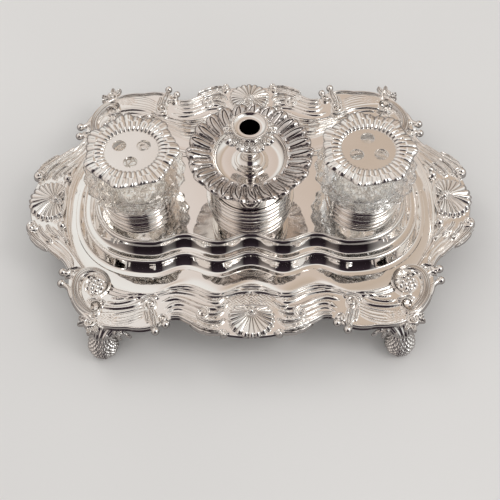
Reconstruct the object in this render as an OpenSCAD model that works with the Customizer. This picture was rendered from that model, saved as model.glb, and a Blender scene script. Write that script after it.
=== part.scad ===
/* [Tray] */
// Width of the tray from side edge to side edge
tray_w = 300; // [270:1:330]
// Depth of the tray from front edge to back edge
tray_d = 212; // [196:1:232]
// Height of the rim above the table
rim_z = 28; // [26:0.5:34]
// Drop from the rim down to the pen trough
rim_drop = 6; // [3:0.5:8]
// Thickness of the tray's metal
tray_t = 1.6; // [1:0.1:2.2]
// Radius of the convex lobe at each side
side_lobe_r = 56; // [48:1:60]
// Radius of the convex lobe at each corner
corner_lobe_r = 36; // [32:1:40]
// Radius of the small lobe between corner and neck
shoulder_lobe_r = 23; // [20:1:26]
// Radius of the shallow lobe at front and back
end_lobe_r = 80; // [70:1:90]
// Radius of the hollow neck beside each side lobe
side_neck_r = 24; // [18:1:30]
// Radius of the hollow neck beside the front and back lobes
end_neck_r = 10; // [7:0.5:14]
// Share of the border that is flat before it dips to the trough
flat_share = 0.72; // [0.6:0.01:0.8]

/* [Platform] */
// Length of the platform at its foot
platform_l = 239; // [225:1:245]
// Depth of the platform at its foot, between the waves
platform_d = 110.4; // [104:0.2:116]
// Rise of each of the two steps
step_rise = 7; // [5:0.5:9]
// Width of the trough between platform and border
trough_w = 11; // [7:0.5:12]
// Distance from one crest of the wavy front to the next
wave_pitch = 43; // [38:1:46]
// Depth of the wave each way
wave_h = 3; // [1.5:0.1:3.6]

/* [Collars] */
// Distance from an end of the platform to the middle of its glass well
well_in = 44; // [41:0.5:47]
// Height of the reeded collars
collar_h = 14; // [10:0.5:16]
// Thickness of a collar's wall at its thinnest
collar_t = 1.5; // [1:0.1:2]
// Number of bold reeds on a collar
collar_reeds = 3; // [2:1:4]
// Width of the flat foot round a collar
collar_foot = 3.2; // [2:0.2:4]

/* [Ink wells] */
// Widest radius of a glass well
glass_r = 33.5; // [30:0.5:34]
// Radius of the plug that stands in the collar
plug_r = 20.6; // [18:0.2:22]
// Height of a glass well without its lid
glass_h = 44; // [39:0.5:47]
// Radius of the mouth in a glass well
mouth_r = 15.6; // [14:0.1:16.2]
// Thickness of the glass neck
neck_t = 4.4; // [3:0.2:5]
// Height of the neck and of its silver mount
neck_h = 4; // [3:0.5:6]
// Number of cut diamonds round a glass well
glass_cuts = 18; // [12:1:24]

/* [Lids] */
// Thickness of the pierced quill plate
plate_t = 1.6; // [1.2:0.1:2.4]
// Radius of a quill hole
quill_r = 4.4; // [3.2:0.1:4.6]
// Radius of the circle that the quill holes stand on
quill_circle_r = 9; // [8.4:0.1:9.4]
// Reach of a lid's fluted border from the middle
lid_r = 29.5; // [26:0.5:31]
// Number of flutes in a lid's border
lid_flutes = 21; // [15:3:27]
// Depth of the ring below the plate
bezel_h = 5; // [3:0.5:8]

/* [Wafer pot] */
// Outer radius of the wafer pot
pot_r = 24.4; // [22:0.2:26]
// Height of the wafer pot
pot_h = 31; // [26:0.5:35]
// Thickness of the pot's wall
pot_t = 1.5; // [1:0.1:2]

/* [Taper stick] */
// Reach of the pan's leaf border from the middle
pan_r = 40; // [36:0.5:42]
// Radius of the pan's well
pan_well_r = 24; // [20:0.5:26]
// Depth of the pan's well
pan_depth = 6; // [5:0.5:9]
// Number of leaves round the pan
pan_leaves = 24; // [18:1:30]
// Rise of the leaf border from the pan's rim to its edge
pan_rise = 5; // [2:0.5:6]
// Height of the stem from the pan's floor to the socket's rim
stem_h = 27; // [24:0.5:32]
// Bore for the taper in the nozzle
taper_r = 6.4; // [5.4:0.1:6.8]
// Depth of the taper's bore
taper_depth = 15; // [12:0.5:17]
// Radius of the nozzle's dished rim
nozzle_r = 11.25; // [10.5:0.25:13]
// Height of the nozzle above the socket's rim
nozzle_h = 8; // [7:0.5:11]
// Reach of the nozzle's leaf border from the middle
drip_r = 17; // [15:0.5:20]

/* [Ornaments] */
// Radius of the fan of a border shell
shell_r = 18.5; // [15:0.5:20]
// Height of a shell above the rim
shell_h = 4.5; // [3:0.5:6]
// Number of ribs in a shell
shell_ribs = 15; // [9:2:17]
// Half width of the scroll band
scroll_w = 3.2; // [2.4:0.1:3.6]
// Height of the scroll band above the rim
scroll_h = 4; // [3:0.5:6]
// Radius of the small balls that end the scrolls
ball_r = 3; // [2:0.2:3.6]
// Height of the bead that edges the border
bead_h = 1.6; // [1:0.1:2.4]
// Widest radius of the shell ball on a foot
foot_r = 9.25; // [7:0.25:10]

/* [Hidden] */
$fn = 72;
SILVER = [0.86, 0.84, 0.81];
SHADOWED_SILVER = [0.7, 0.67, 0.66];
GLASS = [0.8, 0.84, 0.84, 0.6];

// Clearances between pieces that lift apart, and under pieces that only touch along a curve
lift_gap = 0.4;
seat_gap = 0.3;

// Heights
floor_z = rim_z - rim_drop;
platform_z = floor_z + 2 * step_rise;
well_x = platform_l / 2 - well_in;
glass_top_z = platform_z + glass_h;
neck_z = glass_top_z - neck_h;
plate_top_z = glass_top_z + plate_t;
pot_top_z = platform_z + pot_h;

// ---------- Outline of the tray ----------
// Lobes of one quarter, from the side to the back: centre x, centre y, radius
corner_in = [68, 42];
shoulder_in = [80, 28];
shoulder_neck_r = 20;
lobes = [
    [tray_w / 2 - side_lobe_r, 0, side_lobe_r],
    [tray_w / 2 - corner_in[0], tray_d / 2 - corner_in[1], corner_lobe_r],
    [tray_w / 2 - shoulder_in[0], tray_d / 2 - shoulder_in[1], shoulder_lobe_r],
    [0, tray_d / 2 - end_lobe_r, end_lobe_r]
];
neck_radii = [side_neck_r, shoulder_neck_r, end_neck_r];
outline_step = 7.5;

function dir(a) = [cos(a), sin(a)];
function angle_of(v) = atan2(v[1], v[0]);
function mid(p) = [p[0], p[1]];
function mix(a, b, t) = a * (1 - t) + b * t;

// Centre of the hollow arc of radius n that touches lobes p and q
function neck_centre(p, q, n) =
    let (gap = mid(q) - mid(p), d = norm(gap), u = gap / d)
    let (along = ((p[2] + n) ^ 2 - (q[2] + n) ^ 2 + d ^ 2) / (2 * d))
    mid(p) + along * u + sqrt((p[2] + n) ^ 2 - along ^ 2) * [u[1], -u[0]];

neck_centres = [for (i = [0:2]) neck_centre(lobes[i], lobes[i + 1], neck_radii[i])];
lobe_start = [for (i = [0:3]) i == 0 ? 0 : angle_of(neck_centres[i - 1] - mid(lobes[i]))];
lobe_end = [for (i = [0:3]) i == 3 ? 90 : angle_of(neck_centres[i] - mid(lobes[i]))];

function arc(c, r, a0, a1, step) =
    let (n = max(2, ceil(abs(a1 - a0) * PI / 180 * r / step)))
    [for (i = [0:n - 1]) c + r * dir(mix(a0, a1, i / n))];

function lobe_arc(i) = arc(mid(lobes[i]), lobes[i][2], lobe_start[i], lobe_end[i], outline_step);
function neck_arc(i) =
    arc(neck_centres[i], neck_radii[i], lobe_end[i] + 180, lobe_start[i + 1] + 180, outline_step);

outline_quarter = concat(
    lobe_arc(0), neck_arc(0), lobe_arc(1), neck_arc(1), lobe_arc(2), neck_arc(2), lobe_arc(3),
    [[0, tray_d / 2]]
);
quarter_n = len(outline_quarter);

// The whole ring from one quarter, without doubling the points on the axes
function whole(q) =
    let (n = len(q))
    concat(
        q,
        [for (i = [n - 2:-1:0]) [-q[i][0], q[i][1]]],
        [for (i = [1:n - 1]) [-q[i][0], -q[i][1]]],
        [for (i = [n - 2:-1:1]) [q[i][0], -q[i][1]]]
    );

// ---------- Wavy contours of platform and trough ----------
// Round end, then a wavy front whose crests point inwards
end_power = 2.3;
wave_x = 1.5 * wave_pitch;
end_share = 0.58;
function wavy_point(s, a, b, amp) =
    s < end_share
    ? let (f = 90 * s / end_share)
        [wave_x + (a - wave_x) * cos(f) ^ (2 / end_power), (b + amp) * sin(f) ^ (2 / end_power)]
    : let (x = wave_x * (1 - s) / (1 - end_share)) [x, b - amp * cos(360 * x / wave_pitch)];
function wavy_quarter(n, a, b, amp) = [for (i = [0:n - 1]) wavy_point(i / (n - 1), a, b, amp)];

side_trough_w = 3;
trough_wave = 1.15;
trough_quarter = wavy_quarter(
    quarter_n, platform_l / 2 + side_trough_w, platform_d / 2 + trough_w, wave_h * trough_wave
);
trough_ring = whole(trough_quarter);
outline_ring = whole(outline_quarter);

// ---------- Lofts ----------
function lift(ring, z) = [for (p = ring) [p[0], p[1], z]];
function band_faces(n, j, k, first) = [
    for (i = [0:n - 1])
        let (a = first + j * n + i, b = first + j * n + (i + 1) % n)
        let (c = first + k * n + i, d = first + k * n + (i + 1) % n)
        each [[a, c, b], [b, c, d]]
];

// Closed tube through rings of points that lead back to the first ring
module ring_loft(rings) {
    n = len(rings[0]);
    m = len(rings);
    polyhedron(
        points = [for (r = rings) each r],
        faces = [for (j = [0:m - 1]) each band_faces(n, j, (j + 1) % m, 0)],
        convexity = 8
    );
}

// Solid through rings of points, closed at both ends by fans round a middle point
module capped_loft(first, rings, last) {
    n = len(rings[0]);
    m = len(rings);
    tip = m * n + 1;
    polyhedron(
        points = concat([first], [for (r = rings) each r], [last]),
        faces = concat(
            [for (i = [0:n - 1]) [0, 1 + i, 1 + (i + 1) % n]],
            [for (j = [0:m - 2]) each band_faces(n, j, j + 1, 1)],
            [for (i = [0:n - 1]) [tip, tip - n + (i + 1) % n, tip - n + i]]
        ),
        convexity = 8
    );
}

// ---------- Tray ----------
// Border profile: share of the way from rim to trough, height below the rim as a share of the drop
reed_rise = 0.2;
slope_rows = [[0.1, 0.16], [0.3, 0.23 - reed_rise], [0.46, 0.3], [0.64, 0.42 - reed_rise], [0.8, 0.66]];
border_top = concat(
    [[0, 0.15], [0.02, 0], [flat_share, 0]],
    [for (r = slope_rows) [mix(flat_share, 1, r[0]), r[1]]],
    [[1, 1]]
);
border_under = [[1, 1], [mix(flat_share, 1, 0.6), 0.55], [flat_share, 0.02], [0.01, 0.02]];
function border_ring(t, z) = [
    for (i = [0:len(outline_ring) - 1])
        let (p = mix(outline_ring[i], trough_ring[i], t)) [p[0], p[1], z]
];

// Reeds that sweep over the flat of the border in each quarter, as offsets in from the tray's box
reed_rise_z = 1.3;
reed_half = 1.4;
reeds = [
    [[17, 85], [22, 77.5], [28.2, 70.5], [33.5, 64], [38, 56.8]],
    [[53.5, 24], [60, 22.4], [66, 22], [74.5, 23.4], [81, 27]],
    [[101, 28.8], [108, 27.4], [119, 22.4], [129, 21.4], [132, 24.4]],
    [[101.5, 24], [107, 24.2], [112, 22], [122, 17.4], [127, 17]]
];
function from_edge(d) = [tray_w / 2 - d[0], tray_d / 2 - d[1]];
module reed(path) {
    m = len(path);
    function along(i) =
        let (v = path[min(i + 1, m - 1)] - path[max(i - 1, 0)]) v / norm(v);
    sections = [for (i = [0:m - 1])
        let (side = [along(i)[1], -along(i)[0]] * reed_half)
        [[each path[i] - side, rim_z - 0.3], [each path[i], rim_z + reed_rise_z],
            [each path[i] + side, rim_z - 0.3]]];
    e = 3 * (m - 1);
    polyhedron(
        points = [for (q = sections) each q],
        faces = concat(
            [[0, 1, 2]], [for (j = [0:m - 2]) each band_faces(3, j + 1, j, 0)], [[e, e + 2, e + 1]]
        ),
        convexity = 6
    );
}

module tray_border() {
    color(SILVER) {
        ring_loft(concat(
            [for (r = border_under) border_ring(r[0], rim_z - rim_drop * r[1] - tray_t)],
            [for (r = border_top) border_ring(r[0], rim_z - rim_drop * r[1])]
        ));
        in_quarters() for (r = reeds) reed([for (d = r) from_edge(d)]);
    }
}

module tray_floor() {
    color(SILVER) translate([0, 0, floor_z - tray_t]) linear_extrude(tray_t) polygon(trough_ring);
}

// ---------- Platform ----------
// Rows of the platform: how far in at the side, how far in at the front, height above the floor
platform_rows = [
    [0, 0, 0], [0.3, 0.4, 0.08], [2.7, 3.4, 0.15], [5.3, 6.7, 0.76], [6.2, 8, 1.02],
    [7.4, 9.8, 1.04], [8, 10.6, 0.95], [10.4, 13.6, 0.98], [13.1, 16.3, 1.66], [14.4, 17.6, 1.97],
    [15.3, 18.6, 2.06], [16.1, 19.4, 2.05], [16.6, 20, 2]
];
quarter_steps = 23;
function platform_ring(r, inner) = lift(
    whole(wavy_quarter(
        quarter_steps, platform_l / 2 - r[0] - inner, platform_d / 2 - r[1] - inner,
        wave_h
    )),
    floor_z + step_rise * r[2]
);

// The hollow under the platform follows only its main rows, from the top down
hollow_rows = [for (i = [12, 6, 0]) platform_rows[i]];
module platform() {
    color(SILVER) capped_loft(
        [0, 0, platform_z - tray_t],
        concat(
            [for (r = hollow_rows)
                [for (p = platform_ring(r, 3 * tray_t)) [p[0], p[1], max(floor_z, p[2] - tray_t)]]],
            [for (r = platform_rows) platform_ring(r, 0)]
        ),
        [0, 0, platform_z]
    );
}

// ---------- Border ornaments, all standing on the flat of the border ----------
bead_in = 1.8;
bead_half = 1.1;
// A band along a path: flat below, round above; w and h may change along the path
module band(path, w, h) {
    m = len(path);
    function along(i) =
        let (v = path[min(i + 1, m - 1)] - path[max(i - 1, 0)]) v / norm(v);
    function section(i) =
        let (u = along(i), side = [u[1], -u[0]], k = i / (m - 1))
        [for (q = [[-1, 0], [-0.8, 0.65], [0, 1], [0.8, 0.65], [1, 0]])
            let (p = path[i] + side * q[0] * mix(w[0], w[1], k))
            [p[0], p[1], rim_z + q[1] * mix(h[0], h[1], k)]];
    sections = [for (i = [0:m - 1]) section(i)];
    polyhedron(
        points = [for (s = sections) each s],
        faces = concat(
            [[0, 1, 2], [0, 2, 3], [0, 3, 4]],
            [for (j = [0:m - 2]) each band_faces(5, j + 1, j, 0)],
            [let (e = 5 * (m - 1)) each [[e, e + 2, e + 1], [e, e + 3, e + 2], [e, e + 4, e + 3]]]
        ),
        convexity = 8
    );
}

// A path along a stretch of one lobe's edge
function edge_path(i, inset, a0, a1, n) =
    [for (k = [0:n]) mid(lobes[i]) + (lobes[i][2] - inset) * dir(mix(a0, a1, k / n))];

module in_quarters() {
    for (sx = [0, 1], sy = [0, 1]) mirror([sx, 0, 0]) mirror([0, sy, 0]) children();
}

shell_hub_x = tray_w / 2 - shell_r + 1;
shell_hub_y = tray_d / 2 - shell_r + 1;
shell_side_angle = 17.5;
shell_end_angle = 79;
module rim_bead() {
    w = [bead_half, bead_half];
    h = [bead_h, bead_h];
    color(SILVER) in_quarters() {
        band(edge_path(0, bead_in, shell_side_angle, lobe_end[0] - 6, 5), w, h);
        band(edge_path(1, bead_in, lobe_start[1] + 14, lobe_end[1], 7), w, h);
        band(edge_path(3, bead_in, lobe_start[3] + 1, shell_end_angle, 4), w, h);
    }
}

// Fan of ribs round a hub, with its flat side down and the fan towards +X
fan_half = 112;
hub_share = 0.36;
module shell() {
    n = 2 * shell_ribs;
    back_n = 5;
    angles = concat(
        [for (k = [0:n]) mix(-fan_half, fan_half, k / n)],
        [for (k = [1:back_n]) mix(fan_half, 360 - fan_half, k / (back_n + 1))]
    );
    function reach(i) =
        i > n ? hub_share
        : (1 - 0.28 * (abs(angles[i]) / fan_half) ^ 2) * (i % 2 == 1 ? 1 : 0.93);
    function ring(share, rise) = [
        for (i = [0:len(angles) - 1])
            let (r = shell_r * share * reach(i), rib = i <= n && i % 2 == 1 ? 1 : 0.72)
            [r * cos(angles[i]), r * sin(angles[i]), rise * rib]
    ];
    capped_loft(
        [0, 0, 0],
        [ring(1, 0), ring(1, shell_h * 0.35), ring(0.86, shell_h * 0.85),
            ring(0.6, shell_h * 0.95), ring(0.3, shell_h * 0.6)],
        [0, 0, shell_h]
    );
}

module side_shell() {
    color(SILVER) translate([shell_hub_x, 0, rim_z]) shell();
}

module end_shell() {
    color(SILVER) translate([0, shell_hub_y, rim_z]) rotate(90) shell();
}

// Corner scroll: a curl that unrolls along the corner and ends in small balls
curl_in = [47.5, 40];
curl_turns = 1.1;
curl_r = [3, 11];
scroll_in = 6.5;
module corner_scroll() {
    c = [tray_w / 2 - curl_in[0], tray_d / 2 - curl_in[1]];
    run = edge_path(1, scroll_in, lobe_start[1] + 4, lobe_end[1] - 2, 8);
    tail = edge_path(2, scroll_in, lobe_start[2] + 2, lobe_end[2] - 10, 3);
    curl = [for (k = [0:17])
        c + mix(curl_r[0], curl_r[1], k / 18) * dir(-10 - 360 * curl_turns * (1 - k / 18))];
    color(SILVER) {
        band(concat(curl, run, tail), [scroll_w * 0.55, scroll_w], [scroll_h, scroll_h]);
        translate([each tail[3] + [-1.5, ball_r + 2.4], rim_z + ball_r + seat_gap])
            sphere(ball_r, $fn = 24);
        for (d = [[3.2, -9], [4.2, -1.4]])
            translate([each run[0] + [scroll_w, 0] + d, rim_z + ball_r + seat_gap])
                sphere(ball_r, $fn = 24);
    }
}

// Leaf that runs from beside a shell along the edge of its lobe, with a ball at its thick end
leaf_n = 6;
module leaf(i, a0, a1) {
    path = edge_path(i, scroll_in, a0, a1, leaf_n);
    band(path, [scroll_w * 1.15, scroll_w * 0.35], [scroll_h, scroll_h * 0.4]);
}

module side_leaves() {
    color(SILVER) for (s = [0, 1]) mirror([0, s, 0]) leaf(0, 26, 50);
}

module end_leaves() {
    color(SILVER) for (s = [0, 1]) mirror([s, 0, 0]) leaf(3, 74, 59);
}

// ---------- Feet ----------
// Middle of a foot's pad, in from the corner of the tray's box, and how far the ball stands out from it
foot_in = [62, 20];
foot_splay = [7.2, 12.7];
foot_flutes = 9;
module foot() {
    pad_z = rim_z - rim_drop * border_under[3][1] - tray_t;
    ball_z = 2 * foot_r;
    n = 2 * foot_flutes;
    // radius as a share of the ball's, height, share of the splay, stretch into leaves along the tray
    rows = [
        [0.55, 0, 1, 1], [0.86, ball_z * 0.12, 1, 1], [1, ball_z * 0.42, 1, 1],
        [0.93, ball_z * 0.7, 1, 1], [0.66, ball_z * 0.93, 0.95, 1.15],
        [0.6, mix(ball_z, pad_z, 0.3), 0.85, 1.7], [0.68, mix(ball_z, pad_z, 0.65), 0.6, 2],
        [0.85, mix(ball_z, pad_z, 0.9), 0.35, 1.8], [0.95, pad_z, 0.2, 1.5]
    ];
    place = [tray_w / 2 - foot_in[0], tray_d / 2 - foot_in[1]];
    function ring(r) = [
        for (i = [0:n - 1])
            let (q = foot_r * r[0] * (i % 2 == 0 ? 1 : 0.88))
            let (v = q * dir(360 * i / n)) [each place + foot_splay * r[2] + [v[0] * r[3], v[1]], r[1]]
    ];
    color(SILVER) capped_loft(
        [each place + foot_splay, 0], [for (r = rows) ring(r)],
        [each place + foot_splay * 0.2, pad_z]
    );
}

// ---------- Collars ----------
// Stack of bold half-round reeds round a plain bore, on a flat foot
module collar(bore_r) {
    foot_h = 1.4;
    pitch = (collar_h - foot_h) / collar_reeds;
    reed_r = pitch / 2;
    color(SILVER) translate([0, 0, platform_z]) rotate_extrude() difference() {
        union() {
            translate([bore_r, 0]) square([collar_t + collar_foot, foot_h]);
            translate([bore_r, 0]) square([collar_t, collar_h]);
            for (k = [0:collar_reeds - 1])
                translate([bore_r + collar_t - reed_r * 0.45, foot_h + pitch * (k + 0.5)])
                    circle(r = reed_r, $fn = 32);
        }
        square([bore_r, 2 * collar_h]);
        translate([bore_r - 2 * reed_r, -2 * reed_r]) square([8 * reed_r, 2 * reed_r]);
        translate([bore_r - 2 * reed_r, collar_h]) square([8 * reed_r, 2 * reed_r]);
    }
}

// ---------- Glass wells ----------
glass_wall = 3;
neck_r = mouth_r + neck_t;
mount_t = 2;
// Belly: share of the widest radius, share of the height between collar and neck
belly_rows = [[0.7, 0], [0.9, 0.09], [1, 0.34], [0.99, 0.56], [0.88, 0.8]];
// Floor of the hollow, its rounding, and how far the hollow keeps in from the cut belly
cavity_z = 5;
cavity_round = 1.5;
belly_keep = 6;
cavity_rows = [[belly_keep, 3], [belly_keep - 1, 12]];
shoulder_drop = 2.6;
shoulder_rim = 0.8;
module glass_belly() {
    z0 = collar_h + seat_gap;
    rise = glass_h - neck_h - z0;
    n = glass_cuts;
    rows = concat(
        [for (r = belly_rows) [glass_r * r[0], z0 + rise * r[1]]],
        [[neck_r + mount_t + shoulder_rim, z0 + rise]]
    );
    capped_loft(
        [0, 0, z0],
        [for (j = [0:len(rows) - 1])
            [for (i = [0:n - 1])
                let (a = 360 * (i + 0.5 * j) / n) [rows[j][0] * cos(a), rows[j][0] * sin(a), rows[j][1]]]],
        [0, 0, z0 + rise]
    );
}

module glass() {
    shoulder_z = glass_h - neck_h - shoulder_drop;
    belly_z = collar_h + seat_gap + glass_wall;
    foot_cavity_r = plug_r - glass_wall;
    belly_cavity_r = glass_r - glass_wall;
    color(GLASS) translate([0, 0, platform_z]) difference() {
        union() {
            cylinder(r = plug_r, h = collar_h + 1);
            glass_belly();
            cylinder(r = neck_r, h = glass_h);
        }
        rotate_extrude() polygon([
            [0, cavity_z], [foot_cavity_r - cavity_round, cavity_z],
            [foot_cavity_r, cavity_z + cavity_round], [foot_cavity_r, belly_z - 1],
            each [for (c = cavity_rows) [belly_cavity_r - c[0], belly_z + c[1]]],
            [mouth_r, shoulder_z], [mouth_r, glass_h + 1], [0, glass_h + 1]
        ]);
    }
}

module neck_mount() {
    color(SILVER) translate([0, 0, neck_z]) rotate_extrude() difference() {
        translate([neck_r + seat_gap, 0]) square([mount_t, neck_h]);
        translate([neck_r + seat_gap + mount_t, neck_h / 2]) circle(r = neck_h / 4, $fn = 24);
    }
}

// ---------- Lids ----------
plate_r = neck_r - 0.8;
plate_seat = 2;
lid_border_t = 1.3;
lid_lobes = 7;
lobe_reach = 1.1;
lobe_rise = 0.5;
module quill_plate(first_angle) {
    color(SILVER) translate([0, 0, glass_top_z]) difference() {
        cylinder(r = plate_r, h = plate_t);
        for (k = [0:2]) rotate(first_angle + 120 * k)
            translate([quill_circle_r, 0, -1]) cylinder(r = quill_r, h = plate_t + 2, $fn = 32);
    }
}

// Fluted ring that stands on the rim of a plate and droops outwards to a lobed, wavy edge
module lid_border() {
    n = 2 * lid_flutes;
    seat = plate_r - plate_seat;
    // share of the way out, height above the plate
    top_rows = [[1, 0.4], [0.8, 1.9], [0.4, 2.1], [0, 0.9]];
    under_rows = [[0, 0], [0.14, 0], [0.8, 1.9 - lid_border_t], [0.98, -0.5]];
    function ring(row) = [
        for (i = [0:n - 1])
            let (a = 360 * i / n, wave = cos(lid_lobes * a) + (i % 2 == 0 ? 0.5 : -0.5))
            let (k = row[1] == 0 ? 0 : row[0] ^ 2, r = mix(seat, lid_r, row[0]) + k * lobe_reach * wave)
            [r * cos(a), r * sin(a), plate_top_z + row[1] + k * lobe_rise * wave]
    ];
    color(SILVER) ring_loft([for (r = concat(under_rows, top_rows)) ring(r)]);
}

module lid_bezel() {
    bezel_t = 1;
    color(SHADOWED_SILVER) translate([0, 0, glass_top_z - bezel_h]) rotate_extrude()
        translate([mouth_r - lift_gap - bezel_t, 0]) square([bezel_t, bezel_h]);
}

// ---------- Wafer pot ----------
module wafer_pot() {
    color(SILVER) translate([0, 0, platform_z]) difference() {
        cylinder(r = pot_r, h = pot_h);
        translate([0, 0, pot_t]) cylinder(r = pot_r - pot_t, h = pot_h);
    }
}

// ---------- Taper stick ----------
pan_t = 1.4;
pan_seat_h = 2;
pan_floor_z = pot_top_z + pan_seat_h + pan_t;
pan_rim_z = pan_floor_z + pan_depth;
pan_plug_h = 5;
pan_flange = 1.4;
// Floor over the pot's mouth, ring that drops into the pot, ring that rests on it, hollow wall
module pan() {
    plug_outer = pot_r - pot_t - lift_gap;
    plug_inner = plug_outer - pan_t;
    wall_foot_r = pan_well_r - pan_depth;
    rim_outer = pan_well_r + 2 * pan_t;
    floor_top = pan_seat_h + pan_t;
    color(SILVER) translate([0, 0, pot_top_z]) rotate_extrude() {
        translate([0, pan_seat_h]) square([plug_outer, pan_t]);
        translate([plug_inner, -pan_plug_h]) square([pan_t, pan_plug_h + floor_top]);
        translate([plug_inner, 0]) square([pot_r + pan_flange - plug_inner, pan_seat_h]);
        difference() {
            translate([wall_foot_r, pan_seat_h])
                square([rim_outer - wall_foot_r, pan_t + pan_depth]);
            translate([wall_foot_r, floor_top + pan_depth]) circle(r = pan_depth);
        }
    }
}

// Dished ring of leaves with a raised rib each, rising from the pan's rim to its edge
leaf_rib = 0.6;
leaf_tip = 0.8;
module pan_border() {
    n = 2 * pan_leaves;
    t = 1.3;
    // share of the way out, height above the pan's rim as a share of the rise
    top_rows = [[1, 0.9], [0.88, 1], [0.5, 0.72], [0.18, 0.36], [0, 0.24]];
    under_rows = [[0, 0], [0.16, 0], [0.5, 0.72 - t / pan_rise], [0.97, 0.88 - t / pan_rise]];
    function ring(row) = [
        for (i = [0:n - 1])
            let (side = i % 2 == 0 ? 1 : -1, rib = row[1] == 0 ? 0 : side * min(1, 2 * row[0]))
            let (a = 360 * i / n)
            let (r = mix(pan_well_r + 0.2, pan_r, row[0]) + leaf_tip * rib * row[0] ^ 2)
            [r * cos(a), r * sin(a), pan_rim_z + pan_rise * row[1] + leaf_rib * rib]
    ];
    color(SHADOWED_SILVER) ring_loft([for (r = concat(under_rows, top_rows)) ring(r)]);
}

socket_t = 1.3;
spigot_t = 0.9;
spigot_r = taper_r + spigot_t;
spigot_floor = 1;
mouth_drop = 1.7;
socket_depth = taper_depth + mouth_drop + spigot_floor + seat_gap - nozzle_h;
socket_r = spigot_r + 0.1 + socket_t;
socket_z = pan_floor_z + stem_h;
stem_base_r = 12;
// Steps of the base: how far in, height; then the cove above it, the ring and the knop on the shaft
base_steps = [[0, 1.2], [2, 2.4]];
cove_in = 3;
cove_h = 6.5;
cove_r = 5;
shaft_r = 3.2;
ring_z = 7;
knop_r = 5.2;
knop_z = 10.2;
cup_neck_r = 4;
cup_floor_t = 2;
module stem() {
    cup_z = stem_h - socket_depth - cup_floor_t;
    cove_edge = stem_base_r - cove_in;
    color(SILVER) translate([0, 0, pan_floor_z]) rotate_extrude() difference() {
        union() {
            for (b = base_steps) square([stem_base_r - b[0], b[1]]);
            difference() {
                square([cove_edge, cove_h]);
                translate([cove_edge, cove_h + 0.9]) circle(r = cove_r, $fn = 40);
            }
            square([shaft_r, cup_z + 1]);
            intersection() {
                translate([0, knop_z]) circle(r = knop_r);
                square([knop_r, stem_h]);
            }
            translate([0, ring_z]) square([cup_neck_r + 0.4, 1.2]);
            polygon([
                [0, cup_z - 1.5], [cup_neck_r, cup_z - 1.5], [socket_r, cup_z + cup_floor_t],
                [socket_r, stem_h], [0, stem_h]
            ]);
        }
        translate([0, stem_h - socket_depth]) square([spigot_r + 0.1, socket_depth + 1]);
    }
}

// Spigot in the socket, flange on the socket's rim, flared cup with a dished top round the taper's bore
flange_over = 0.6;
nozzle_flange_t = 1;
cup_lip_t = 0.8;
dish_above = 2.2;
module nozzle() {
    dish_r = nozzle_r - spigot_r - cup_lip_t;
    color(SILVER) translate([0, 0, socket_z]) difference() {
        rotate_extrude() union() {
            translate([0, seat_gap - socket_depth])
                square([spigot_r, socket_depth - seat_gap + nozzle_h - mouth_drop]);
            square([socket_r + flange_over, nozzle_flange_t]);
            difference() {
                translate([spigot_r, nozzle_flange_t])
                    square([nozzle_r - spigot_r, nozzle_h - nozzle_flange_t]);
                translate([nozzle_r + flange_over, nozzle_flange_t]) circle(r = nozzle_h - dish_above);
                translate([spigot_r, nozzle_h + dish_above]) circle(r = dish_r);
            }
        }
        translate([0, 0, nozzle_h - mouth_drop - taper_depth])
            cylinder(r = taper_r, h = taper_depth + 4);
    }
}

drip_leaves = 9;
module nozzle_leaves() {
    n = 3 * drip_leaves;
    t = 1;
    inner = spigot_r + 0.3;
    top_rows = [[1, 0.2], [0.7, 1.9], [0.25, 1.5], [0, 1.1]];
    under_rows = [[0, 0], [0.2, 0], [0.7, 1.9 - t], [0.96, -0.4]];
    function ring(row) = [
        for (i = [0:n - 1])
            let (lobe = [1, 0.2, 0.2][i % 3] * row[0])
            let (r = mix(inner, drip_r - 1.2, row[0]) + 1.2 * lobe, a = 360 * i / n)
            [r * cos(a), r * sin(a), socket_z + 1 + row[1]]
    ];
    color(SILVER) ring_loft([for (r = concat(under_rows, top_rows)) ring(r)]);
}

module at_well(s) {
    translate([s * well_x, 0, 0]) children();
}

tray_floor();
tray_border();
platform();
rim_bead();
mirror([1, 0, 0]) side_shell();  // shell_left
side_shell();  // shell_right
mirror([0, 1, 0]) end_shell();  // shell_front
end_shell();  // shell_back
mirror([1, 0, 0]) mirror([0, 1, 0]) corner_scroll();  // scroll_front_left
mirror([0, 1, 0]) corner_scroll();  // scroll_front_right
mirror([1, 0, 0]) corner_scroll();  // scroll_back_left
corner_scroll();  // scroll_back_right
mirror([1, 0, 0]) side_leaves();  // leaves_left
side_leaves();  // leaves_right
mirror([0, 1, 0]) end_leaves();  // leaves_front
end_leaves();  // leaves_back
mirror([1, 0, 0]) mirror([0, 1, 0]) foot();  // foot_front_left
mirror([0, 1, 0]) foot();  // foot_front_right
mirror([1, 0, 0]) foot();  // foot_back_left
foot();  // foot_back_right
at_well(-1) collar(plug_r + lift_gap);  // collar_left
collar(pot_r + lift_gap);  // collar_centre
at_well(1) collar(plug_r + lift_gap);  // collar_right
at_well(-1) glass();  // glass_left
at_well(1) glass();  // glass_right
at_well(-1) neck_mount();  // neck_mount_left
at_well(1) neck_mount();  // neck_mount_right
at_well(-1) quill_plate(-90);  // quill_plate_left
at_well(1) quill_plate(90);  // quill_plate_right
at_well(-1) lid_border();  // lid_border_left
at_well(1) lid_border();  // lid_border_right
at_well(-1) lid_bezel();  // lid_bezel_left
at_well(1) lid_bezel();  // lid_bezel_right
wafer_pot();
pan();
pan_border();
stem();
nozzle();
nozzle_leaves();
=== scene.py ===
import math

import bmesh
import bpy
import numpy as np
from mathutils import Matrix, Vector


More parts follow.
